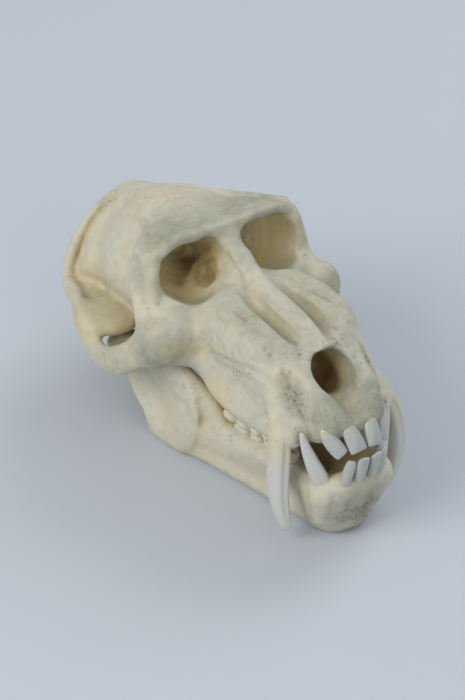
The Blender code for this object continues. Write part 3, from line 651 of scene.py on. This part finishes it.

# Where the bones are coloured or pitted: soft spots of (centre, radii, strength), in mm. Ochre and grey
# ones mix yellowed or greenish grey bone with painted warm bounce light and painted shade; deep and right
# ones are painted shade and bounce light in recesses.
# Inward and sunken ones are yellow, painted warm bounce light, and only colour skin that faces their
# centre; sunken ones fade where no hollow was cut. The ones that take yellow away paint the left orbit
# paler, as if lit, and take it off the trough below the nose.
# All but these and the right ones are on both sides.
SKULL_SPOTS = {
    # yellow facing spots: painted warm bounce light in the mouth, the orbits and the nose
    "inward": [((0, 50, 36), (24, 52, 20), 1.2)],
    "sunken": [((19, 122, 89), (17, 13, 15), 1.3), ((0, 46, 68), (9, 16, 9), 0.4)],
    # ochre: yellowed bone together with painted warm bounce light under the arch, behind the upper teeth,
    # in the nose grooves and in the nape valley
    "ochre": [
        ((42, 146, 52), (16, 18, 7), 0.75), ((22, 82, 42), (8, 16, 14), 0.8),
        ((34, 176, 50), (10, 16, 12), 0.3), ((29, 36, 52), (6, 8, 8), 0.2),
        ((9, 72, 82), (3, 16, 3), 0.5), ((8, 192, 80), (14, 8, 6), 0.2),
    ],
    # grey: greenish grey bone together with painted shade on faces turned from the light: the muzzle's
    # front, under the cheek and the eye socket, and in the temple hollow
    "grey": [
        ((16, 62, 90), (14, 34, 9), 0.65), ((0, 112, 98), (12, 14, 14), 0.6),
        ((10, 15, 66), (15, 13, 13), 1.3), ((20, 128, 105), (26, 26, 8), 0.85),
        ((46, 102, 64), (14, 12, 11), 1.1), ((21, 34, 71), (4, 10, 9), 0.9),
        ((3, 30, 72), (9, 14, 12), 1.3), ((9, 62, 83), (5, 20, 5), 0.5),
        ((40, 124, 90), (6, 12, 12), 0.6), ((25, 107, 73), (13, 9, 9), 1.2),
        ((38, 148, 54), (16, 18, 7), 0.75), ((56, 124, 52), (6, 20, 10), 0.55),
    ],
    # deep: painted shade, brown, inside the nose opening and in a slot at the back of each orbit
    "deep": [((13, 131, 84), (6, 9, 8), 1.0), ((0, 49, 65), (8, 13, 9), 3.0)],
    # spots that take yellow away: the left orbit, made paler as painted light, and the trough below the
    # nose
    "clean": [((23, 128, 91), (9, 8, 8), 0.6), ((2, 31, 73), (10, 13, 11), 0.9)],
    # painted warm bounce light and shade on the nose's side of the right orbit
    "right_wall": [((-12, 117, 86.5), (4.2, 5.8, 9), 2.5)],
    # painted shade deep in the right orbit
    "right_deep": [
        ((-17, 124, 80), (9, 9, 9), 0.55), ((-24, 122, 84), (6, 10, 12), 0.4),
        ((-12, 121, 88), (9, 12, 13), 0.45),
    ],
    "pitted": [
        ((21, 34, 70), (4, 10, 10), 1.0), ((9, 42, 86), (9, 12, 6), 0.8), ((29, 72, 70), (5, 24, 7), 0.6),
        ((10, 199, 78), (18, 7, 7), 0.6), ((10, 14, 66), (12, 10, 8), 0.4),
    ],
}
JAW_SPOTS = {
    # painted warm bounce light inside the jaw
    "inward": [((0, 50, 30), (30, 58, 22), 1.5)],
    # greenish grey on the chin, with painted shade where it turns from the light
    "grey": [((0, 6, 18), (13, 9, 14), 0.85)],
    "pitted": [((0, 7, 13), (14, 8, 10), 1.2)],
}


class Shader:
    """A Principled material that is put together node by node."""

    def __init__(self, name):
        self.material = bpy.data.materials.new(name)
        self.material.use_nodes = True
        self.tree = self.material.node_tree
        self.surface = self.tree.nodes["Principled BSDF"]
        self.place = self.add("TexCoord").outputs["Object"]

    def put(self, socket, value):
        """Links a socket to a node's output, or gives it a plain number or colour."""
        if isinstance(value, bpy.types.NodeSocket):
            self.tree.links.new(value, socket)
        elif isinstance(value, (int, float)):
            socket.default_value = value
        else:
            socket.default_value = (*value, 1.0)

    def add(self, kind, **inputs):
        """A new node with these inputs, written with _ for each blank in an input's name."""
        node = self.tree.nodes.new(f"ShaderNode{kind}")
        for name, value in inputs.items():
            self.put(node.inputs[name.replace("_", " ")], value)
        return node

    def noise(self, scale, detail=4.0, roughness=0.55):
        """Noise from 0 to 1 with lumps about 1 / scale metres wide."""
        node = self.add("TexNoise", Vector=self.place, Scale=scale, Detail=detail, Roughness=roughness)
        return node.outputs["Fac"]

    def stored(self, name):
        """A number that is kept on the mesh's points."""
        node = self.add("Attribute")
        node.attribute_name = name
        return node.outputs["Fac"]

    def ramp(self, value, low, high, first=0.0, last=1.0):
        """Value stretched so that low becomes first and high becomes last, held between them."""
        node = self.add("MapRange", Value=value, From_Min=low, From_Max=high, To_Min=first, To_Max=last)
        return node.outputs["Result"]

    def maths(self, operation, a, b):
        node = self.add("Math")
        node.operation = operation
        self.put(node.inputs[0], a)
        self.put(node.inputs[1], b)
        return node.outputs["Value"]

    def times(self, a, b):
        return self.maths("MULTIPLY", a, b)

    def mix(self, share, first, second):
        """First where share is 0 and second where it is 1."""
        node = self.add("Mix", Factor=share)
        node.data_type = "RGBA"
        colours = [socket for socket in node.inputs if socket.type == "RGBA"]
        self.put(colours[0], first)
        self.put(colours[1], second)
        return next(socket for socket in node.outputs if socket.type == "RGBA")

    def relief(self, height, distance, strength):
        """Fine relief that is distance metres high, laid over the relief made before it."""
        node = self.add("Bump", Strength=strength, Distance=distance, Height=height)
        normal = self.surface.inputs["Normal"]
        if normal.is_linked:
            self.put(node.inputs["Normal"], normal.links[0].from_socket)
        self.put(normal, node.outputs["Normal"])

    def cover(self, colour, roughness):
        self.put(self.surface.inputs["Base Color"], colour)
        self.put(self.surface.inputs["Roughness"], roughness)


def bone_material(name, colours):
    """Dry bone: blotched, speckled with pits, greenish grey in patches, and yellow and brown in its
    hollows and creases; the grey, yellow and brown are partly the bone's own colour and partly painted
    shade and painted warm bounce light.
    """
    shader = Shader(name)
    blotches = shader.ramp(shader.noise(45), 0.36, 0.64)
    colour = shader.mix(blotches, colours.bone_light, colours.bone_pale)
    mottling = shader.ramp(shader.noise(240, 5), 0.42, 0.68, 0.0, 0.4)
    colour = shader.mix(mottling, colour, colours.bone_shade)
    ragged = shader.ramp(shader.noise(120, 6, 0.65), 0.3, 0.7, 0.45, 1.2)
    # Grey patches: greenish grey bone together with painted shade
    colour = shader.mix(shader.times(shader.stored("grey"), ragged), colour, colours.bone_grey_and_shade)
    # Yellow: yellowed bone together with painted warm bounce light in the hollows
    ochre = shader.times(shader.stored("ochre"), shader.ramp(shader.noise(90), 0.3, 0.7, 0.7, 1.1))
    colour = shader.mix(ochre, colour, colours.bone_ochre_and_bounce)
    # Brown: painted shade deep in the hollows, with the dark of seams and pits
    deep = shader.times(shader.stored("deep"), shader.ramp(shader.noise(180, 3), 0.3, 0.6, 0.8, 1.0))
    colour = shader.mix(deep, colour, colours.bone_dark_and_shade)
    few = shader.ramp(shader.noise(60, 2), 0.56, 0.68, 0.0, 0.5)
    pitted = shader.times(shader.stored("pitted"), ragged)
    apart = shader.add("TexVoronoi", Vector=shader.place, Scale=420).outputs["Distance"]
    specks = shader.times(shader.ramp(apart, 0.34, 0.10), shader.maths("MAXIMUM", few, pitted))
    colour = shader.mix(shader.times(specks, 0.4), colour, colours.bone_dark_and_shade)
    shader.cover(colour, shader.ramp(shader.noise(90, 3), 0.3, 0.7, *BONE_ROUGHNESS))
    shader.relief(shader.noise(300, 6, 0.65), 0.0009, 0.6)
    shader.relief(shader.times(pitted, shader.noise(500, 5, 0.7)), 0.0016, 0.8)
    shader.relief(shader.ramp(specks, 0.0, 1.0, 1.0, 0.0), 0.0007, 0.9)
    return shader.material


def enamel_material(name, crown, neck):
    """Glossy, faintly uneven enamel that yellows towards the gum."""
    shader = Shader(name)
    uneven = shader.ramp(shader.noise(400, 3), 0.3, 0.7, 0.75, 1.1)
    colour = shader.mix(shader.times(shader.stored("neck"), uneven), crown, neck)
    clouds = shader.ramp(shader.noise(90, 3), 0.4, 0.7, 0.0, 0.15)
    colour = shader.mix(clouds, colour, neck)
    shader.cover(colour, shader.ramp(shader.noise(300, 3), 0.3, 0.7, *ENAMEL_ROUGHNESS))
    shader.relief(shader.noise(250, 3), 0.0003, 0.3)
    return shader.material


def dress(obj, material, slot, *nodes):
    """Gives a finished piece its material, shades it smooth, hangs it on the root body and hides the parts
    it stands for.
    """
    obj.data.materials.clear()
    obj.data.materials.append(material)
    obj.data.shade_smooth()
    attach(obj, "root")
    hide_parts(*nodes)


def finished_bone(name, added, cut, strokes, spots, step):
    """One bone in metres, uneven, with its grooves, and with its colour marks stored on its points:
    stains, and painted warm bounce light and painted shade in its hollows.
    """
    obj = bone_skin(name, added, cut, step / MM * (1.0))
    mesh = obj.data
    work_in(mesh, strokes)
    roughen(mesh)
    points, normals = points_of(mesh), normals_of(mesh)

    def spotted(name, both=True):
        return patch(points, spots.get(name, ()), both)

    def faced(name):
        return facing(points, normals, spots.get(name, ()))

    sunk = -depth_of(points, added, [])
    cut_into = np.clip(sunk / CUT_OVER + UNCUT_SHARE, UNCUT_SHARE, 1)
    # Painted warm bounce light: yellow deep below the uncut skin, in tight valleys and on skin facing the
    # inward and sunken spots, with the yellowed bone of the ochre spots
    yellow_depth = np.clip((sunk - YELLOW_FROM) / YELLOW_OVER, 0, 1)
    # 0 on flat and rounded bone, and up to 1 in tight valleys
    valley = 1.0 - depth_of(points + normals * CREASE_REACH, added, cut) / CREASE_REACH
    yellow_crease = np.clip((valley - CREASE_FROM) * CREASE_GAIN, 0, MOST_CREASE)
    ochre = np.maximum.reduce([
        yellow_depth, yellow_crease, faced("inward"), faced("sunken") * cut_into, spotted("ochre"),
    ])
    # Yellow is taken away where those spots say: paler, as if lit, in the left orbit, and off the trough
    # below the nose
    ochre *= 1.0 - spotted("clean", both=False)
    # The nose's side wall of the right orbit: painted warm bounce light, yellow, and painted shade, brown
    wall = np.clip(spotted("right_wall", both=False), 0, 1)
    keep_value(mesh, "ochre", np.maximum(ochre, wall))
    # Greenish grey bone and painted shade
    keep_value(mesh, "grey", spotted("grey"))
    # Painted shade, brown: deep in the cut hollows, in the deep spots and the right orbit, and on the
    # right orbit's nose-side wall; the strokes add the brown of their seams and pits
    brown_depth = np.clip((sunk - BROWN_FROM) / BROWN_OVER, 0, MOST_BROWN)
    deep_shade_spots = np.maximum(spotted("deep"), spotted("right_deep", both=False))
    deep = [brown_depth, deep_shade_spots * np.clip(sunk - YELLOW_FROM, 0, 1), WALL_BROWN * wall]
    deep += [stroke.stain * stroke.share(points) for stroke in strokes]
    keep_value(mesh, "deep", np.maximum.reduce(deep))
    keep_value(mesh, "pitted", spotted("pitted"))
    mesh.transform(TO_METRES)
    return obj


def ring(bm, centre, wide, thick, rims):
    """A closed loop round centre; rims gives each point's place as (along wide, along thick, rise)."""
    made = bmesh.ops.create_circle(bm, segments=len(rims), radius=1.0)["verts"]
    for vert, (u, v, rise) in zip(made, rims):
        vert.co = centre + wide * u + thick * v + rise
    return list({edge for vert in made for edge in vert.link_edges})


class Tooth:
    """One tooth of the left side: rows of (x, y, z, half width, half thickness) from root to tip.

    Width is measured along the row of teeth, whose direction there is along. Cusps is how many
    points stand on the chewing face: none on a tooth that ends in an edge or a point. Folds are
    grooves along the tooth, as (angle, width, depth).
    """

    def __init__(self, name, rows, along, cusps=0, folds=()):
        self.name = name
        self.rows = curve_through(rows, TOOTH_STEPS)
        self.along = Vector((*along, 0)).normalized()
        self.cusps = cusps
        self.folds = folds

    def swell(self, angle, share):
        """How far the ring keeps out at an angle: less than 1 in a fold, which fades at both ends."""
        out = 1.0
        for middle, width, deep in self.folds:
            away = math.remainder(angle - middle, math.tau) / width
            felt = math.sin(math.pi * min(1.0, share * FOLD_END)) ** 0.5
            out -= deep * math.exp(-away * away) * felt
        return out

    def rims(self, row, axis, share, size, stand, sink=0.0):
        """One ring's points; stand is their share of the cusps' height, sink of the pit's depth."""
        made = []
        for k in range(RING_SIDES):
            angle = math.tau * k / RING_SIDES
            out = self.swell(angle, share) * size
            rise = axis * (cusp_height(angle, self.cusps) * stand - PIT_DEPTH * sink)
            made.append((math.cos(angle) * row[3] * out, math.sin(angle) * row[4] * out, rise))
        return made

    def object(self, name, side, rows):
        """The tooth of one side (-1 is the right one) in metres, along these rows."""
        bm = bmesh.new()
        centres = [Vector(row[:3]) for row in rows]
        last = len(centres) - 1
        loops = []
        for i, row in enumerate(rows):
            axis = (centres[min(i + 1, last)] - centres[max(i - 1, 0)]).normalized()
            wide = (self.along - axis * self.along.dot(axis)).normalized()
            thick = axis.cross(wide)
            rims = self.rims(row, axis, i / last, 1.0, 1.0 if i == last else 0.0)
            loops.append(ring(bm, centres[i], wide, thick, rims))
        for shrink, sink in PIT_RINGS if self.cusps else ():
            rims = self.rims(rows[-1], axis, 1.0, shrink, shrink, sink)
            loops.append(ring(bm, centres[-1], wide, thick, rims))
        bridge_all(bm, loops)
        bmesh.ops.scale(bm, vec=(side, 1, 1), verts=bm.verts[:])
        bmesh.ops.recalc_face_normals(bm, faces=bm.faces[:])
        obj = mesh_object(f"{name}_enamel", bm)
        start, end = rows[0, :3] * (side, 1, 1), rows[-1, :3] * (side, 1, 1)
        along = ((points_of(obj.data) - start) @ (end - start)) / ((end - start) @ (end - start))
        keep_value(obj.data, "neck", (NECK_SHARE - along) / NECK_SHARE * NECK_GAIN)
        obj.data.transform(TO_METRES)
        round_off = obj.modifiers.new("round", "SUBSURF")
        round_off.levels = round_off.render_levels = 1
        return obj


def cusp_height(angle, cusps):
    """How far the rim of the chewing face stands up at an angle."""
    return CUSP_HEIGHT * 0.5 * (1 - math.cos(cusps * angle)) if cusps else 0.0


def cheek_teeth(prefix, first_y, lengths, centre_x, half_wide, up):
    """The two premolars and three molars of a row, one behind the other."""
    names = ["premolar_3", "premolar_4", "molar_1", "molar_2", "molar_3"]
    made = []
    y = first_y
    for name, length, wide in zip(names, lengths, half_wide):
        middle = y + length / 2
        half = length / 2 - TOOTH_GAP / 2
        chew = np.interp(middle, *GUM_LINE) - CROWN - (0 if up else BITE_GAP)
        sign = 1 if up else -1
        x = centre_x + ROW_SPREAD * (middle - first_y)
        rows = [(x, middle, chew + sign * high, half * a, wide * b) for high, a, b in CHEEK_ROWS]
        cusps = 2 if "premolar" in name else 4
        made.append(Tooth(f"{prefix}_{name}", rows, (0, 1), cusps, CHEEK_FOLDS))
        y += length
    return made


# The left upper canine bows further out and curves in more at its tip than the right one.
BENT_CANINE = curve_through([
    (24, 38, 62, 3, 2.8), (28.6, 31.4, 55, 5.4, 3.8), (31.2, 29.2, 48, 6.5, 4.3),
    (32.6, 27.6, 41, 6.7, 4.4), (33.2, 26, 33, 6.3, 4.2), (32.4, 24.5, 25, 5.6, 3.9),
    (29.8, 23, 17.5, 4.6, 3.2), (26.4, 22, 10.5, 3, 2.1), (24.2, 21.5, 7.4, 0.9, 0.7),
], TOOTH_STEPS)
UPPER_TEETH = [
    Tooth("upper_incisor_1", [
        (5.8, 20, 64.5, 2.2, 2), (5.7, 13.2, 61.6, 3.2, 3), (5.2, 9, 57.8, 4, 2.8),
        (4.6, 5.6, 54, 4.2, 1.9), (4.4, 4.1, 52.4, 4, 0.8),
    ], (1, 0.25)),
    Tooth("upper_incisor_2", [
        (14.2, 22.5, 63, 2, 2), (15, 17, 59.8, 3, 2.8), (13.8, 12.4, 55.9, 3.7, 2.6),
        (12, 8.9, 52.4, 3.6, 1.8), (11, 7.2, 50.8, 3, 0.9),
    ], (0.8, 0.6)),
    Tooth("upper_canine", [
        (24, 38, 62, 3, 2.8), (28.2, 31.4, 55, 5.2, 3.6), (30, 29.2, 48, 6.2, 4), (30.8, 28, 41, 6.2, 4.1),
        (31.4, 26.8, 32, 5.9, 3.9), (31.6, 25, 23, 5.3, 3.6), (31, 22.8, 15, 4.4, 3),
        (30.2, 20.8, 9.8, 2.9, 2), (30, 20, 7.8, 0.9, 0.7),
    ], (0.2, 1), 0, ((2.82, 0.3, 0.26),)),
    *cheek_teeth("upper", 36.5, [6.8, 7.2, 9, 10.2, 10.3], 21.6, [4, 4.3, 4.8, 5.1, 4.9], True),
]
LOWER_TEETH = [
    Tooth("lower_incisor_1", [
        (3.9, 10, 29, 1.7, 2.2), (3.6, 5, 37.5, 2.3, 2.7), (3.5, 3.3, 43, 2.9, 2.5), (3.4, 2, 48, 3, 1.5),
        (3.3, 1.5, 50, 2.8, 0.7),
    ], (1, 0.1)),
    Tooth("lower_incisor_2", [
        (9, 12, 26.5, 1.7, 2.2), (9.2, 7.6, 34.5, 2.3, 2.7), (9, 5.6, 41, 2.7, 2.4),
        (8.6, 4.4, 46.5, 2.5, 1.5), (8.3, 4, 49, 1.7, 0.7),
    ], (0.85, 0.5)),
    Tooth("lower_canine", [
        (14.4, 16, 16, 2.8, 2.6), (14.8, 14.6, 25, 3.7, 2.8), (16.3, 15.2, 33.5, 4.3, 3),
        (19.4, 17.8, 42.5, 3.5, 2.5), (21.9, 20.2, 51, 2.4, 1.9), (23.3, 21.8, 57.4, 1.3, 1.1),
        (23.6, 22.1, 58.8, 0.6, 0.5),
    ], (0.81, 0.58), 0, ((4.4, 0.4, 0.16),)),
    *cheek_teeth("lower", 30, [7.6, 7.2, 8.6, 10, 13], 18.6, [3.4, 3.7, 4, 4.2, 4.2], False),
]


def colour_property(name, description, default):
    return bpy.props.FloatVectorProperty(
        name=name, description=description, default=default, size=3, subtype="COLOR", min=0.0, max=1.0
    )


def length_property(name, description, default):
    size = {"unit": "LENGTH", "min": 0.0001}
    return bpy.props.FloatProperty(name=name, description=description, default=default, **size)


class SkullColours(bpy.types.PropertyGroup):
    """Colours of the bone, the teeth and the floor."""

    bone_light: colour_property("Bone", "Bone where it is clean and lit", (0.595, 0.55, 0.42))
    bone_pale: colour_property("Pale bone", "Blotches of paler, cooler bone", (0.57, 0.55, 0.455))
    bone_shade: colour_property("Bone mottling", "Small darker mottles", (0.43, 0.39, 0.275))
    # Grey patches: greenish grey bone, and painted shade where faces turn from the light
    bone_grey_and_shade: colour_property("Grey bone", "Patches of greenish grey bone", (0.305, 0.312, 0.235))
    # Yellow in the hollows: partly yellowed bone, mostly painted warm bounce light
    bone_ochre_and_bounce: colour_property("Ochre bone", "Yellowed bone in the hollows", (0.62, 0.49, 0.21))
    # Brown deep in the hollows is painted shade; the same brown marks seams, pits and specks
    bone_dark_and_shade: colour_property("Deep bone", "Brown bone deep in the hollows", (0.16, 0.10, 0.028))
    canine_crown: colour_property("Canine enamel", "Crowns of the canines", (0.56, 0.57, 0.54))
    # The incisors' enamel is the canines' enamel darkened: painted shade on the front teeth
    incisor_crown_shaded: colour_property("Incisor enamel", "Crowns of the incisors", (0.42, 0.44, 0.425))
    front_neck: colour_property("Front tooth neck", "Front teeth at the gum", (0.56, 0.50, 0.35))
    cheek_crown: colour_property("Cheek enamel", "Crowns of the premolars and molars", (0.62, 0.58, 0.46))
    cheek_neck: colour_property("Cheek tooth neck", "Cheek teeth at the gum", (0.36, 0.27, 0.15))
    floor: colour_property("Floor", "The floor under the skull", (0.52, 0.56, 0.62))


class SkullSizes(bpy.types.PropertyGroup):
    """Sizes of the skin's mesh and of the floor."""

    skull_step: length_property("Cranium mesh step", "Width of the cranium's mesh squares", 0.00105)
    jaw_step: length_property("Jaw mesh step", "Width of the lower jaw's mesh squares", 0.00085)
    floor_width: length_property("Floor width", "Width of the floor", 6.0)


class Step:
    """What the operators share: each builds its pieces from the scene's sizes and colours."""

    def execute(self, context):
        self.build(context.scene.skull_sizes, context.scene.skull_colours)
        return {"FINISHED"}


class SKULL_OT_cranium(Step, bpy.types.Operator):
    """Builds the braincase, brow, orbits, muzzle and cheek arches as one bone"""

    bl_idname = "skull.cranium"
    bl_label = "Cranium"

    def build(self, sizes, colours):
        forms = CRANIUM_ADDED, CRANIUM_CUT
        obj = finished_bone("cranium_bone", *forms, GROOVES, SKULL_SPOTS, sizes.skull_step)
        dress(obj, bone_material("dry_skull_bone", colours), "upper_bone", "cranium")


class SKULL_OT_mandible(Step, bpy.types.Operator):
    """Builds both halves of the lower jaw, grown together at the chin"""

    bl_idname = "skull.mandible"
    bl_label = "Lower jaw"

    def build(self, sizes, colours):
        forms = JAW_ADDED, JAW_CUT
        obj = finished_bone("mandible_bone", *forms, CHIN_GROOVES, JAW_SPOTS, sizes.jaw_step)
        points = points_of(obj.data)
        points[:, 2] = np.maximum(points[:, 2], 0.0)
        put_points(obj.data, points)
        dress(obj, bone_material("dry_jaw_bone", colours), "lower_bone", "mandible")


def add_teeth(jaw, teeth, colours, changed):
    """Every tooth on both sides; changed gives the rows of one that isn't its twin's mirror image."""
    shades = {
        "front": (colours.canine_crown, colours.front_neck),
        # the incisors take the darker crown, painted shade
        "incisor": (colours.incisor_crown_shaded, colours.front_neck),
        "cheek": (colours.cheek_crown, colours.cheek_neck),
    }
    enamels = {kind: enamel_material(f"{jaw}_{kind}_enamel", *pair) for kind, pair in shades.items()}
    for tooth in teeth:
        for side, word in ((-1, "right"), (1, "left")):
            node = f"{word}_{tooth.name}"
            obj = tooth.object(node, side, changed.get(node, tooth.rows))
            kind = "cheek" if tooth.cusps else "incisor" if "incisor" in node else "front"
            dress(obj, enamels[kind], "cheek_enamel" if tooth.cusps else "front_enamel", node)


class SKULL_OT_upper_teeth(Step, bpy.types.Operator):
    """Sets the upper incisors, canines, premolars and molars"""

    bl_idname = "skull.upper_teeth"
    bl_label = "Upper teeth"

    def build(self, sizes, colours):
        add_teeth("upper", UPPER_TEETH, colours, {"left_upper_canine": BENT_CANINE})


class SKULL_OT_lower_teeth(Step, bpy.types.Operator):
    """Sets the lower incisors, canines, premolars and molars"""

    bl_idname = "skull.lower_teeth"
    bl_label = "Lower teeth"

    def build(self, sizes, colours):
        add_teeth("lower", LOWER_TEETH, colours, {})


def add_light(name, place, power, colour):
    """A square soft light at place that shines at the skull."""
    light = bpy.data.lights.new(name, "AREA")
    light.size = LIGHT_WIDTH
    light.energy = power
    light.color = colour
    obj = new_object(name, light)
    obj.location = place
    obj.rotation_euler = (LIT_POINT - Vector(place)).to_track_quat("-Z", "Y").to_euler()


def add_camera():
    """The camera from above the skull's right cheek, turned a little about its own axis."""
    around, up, roll = (math.radians(angle) for angle in CAMERA_ANGLES)
    back = Vector((math.sin(around) * math.cos(up), -math.cos(around) * math.cos(up), math.sin(up)))
    right = Vector((math.cos(around), math.sin(around), 0))
    above = back.cross(right)
    across = right * math.cos(roll) + above * math.sin(roll)
    upward = above * math.cos(roll) - right * math.sin(roll)
    camera = bpy.data.cameras.new("camera")
    camera.sensor_width = SENSOR
    camera.lens = LENS
    camera.clip_start = NEAREST_SEEN
    obj = new_object("camera", camera)
    turn = Matrix((across, upward, back)).transposed().to_4x4()
    obj.matrix_world = Matrix.Translation(CAMERA_PLACE) @ turn
    bpy.context.scene.camera = obj


class SKULL_OT_stage(Step, bpy.types.Operator):
    """Adds the floor, the soft lights and the camera"""

    bl_idname = "skull.stage"
    bl_label = "Stage"

    def build(self, sizes, colours):
        bm = bmesh.new()
        bmesh.ops.create_grid(bm, x_segments=1, y_segments=1, size=sizes.floor_width / 2)
        floor = mesh_object("floor", bm)
        shader = Shader("floor_paint")
        shader.cover(colours.floor, FLOOR_ROUGHNESS)
        floor.data.materials.append(shader.material)
        for light in STUDIO_LIGHTS:
            add_light(*light)
        world = bpy.data.worlds.new("studio")
        world.use_nodes = True
        background = world.node_tree.nodes["Background"]
        background.inputs["Color"].default_value = (*ROOM_LIGHT, 1.0)
        background.inputs["Strength"].default_value = ROOM_STRENGTH
        bpy.context.scene.world = world
        bpy.context.scene.view_settings.view_transform = "Standard"
        add_camera()


class SKULL_PT_panel(bpy.types.Panel):
    """The skull's pieces, sizes and colours"""

    bl_label = "Mandrill skull"
    bl_idname = "SKULL_PT_panel"
    bl_space_type = "VIEW_3D"
    bl_region_type = "UI"
    bl_category = "Skull"

    def draw(self, context):
        for step in STEPS:
            self.layout.operator(step.bl_idname)
        for group in (context.scene.skull_sizes, context.scene.skull_colours):
            for name in group.bl_rna.properties.keys():
                if name not in ("rna_type", "name"):
                    self.layout.prop(group, name)


STEPS = (SKULL_OT_cranium, SKULL_OT_mandible, SKULL_OT_upper_teeth, SKULL_OT_lower_teeth, SKULL_OT_stage)
CLASSES = (SkullColours, SkullSizes, *STEPS, SKULL_PT_panel)


def register():
    for cls in CLASSES:
        bpy.utils.register_class(cls)
    bpy.types.Scene.skull_colours = bpy.props.PointerProperty(type=SkullColours)
    bpy.types.Scene.skull_sizes = bpy.props.PointerProperty(type=SkullSizes)


def unregister():
    del bpy.types.Scene.skull_sizes
    del bpy.types.Scene.skull_colours
    for cls in reversed(CLASSES):
        bpy.utils.unregister_class(cls)


def main():
    register()
    bpy.ops.skull.cranium()
    bpy.ops.skull.mandible()
    bpy.ops.skull.upper_teeth()
    bpy.ops.skull.lower_teeth()
    bpy.ops.skull.stage()


if __name__ == "__main__":
    main()
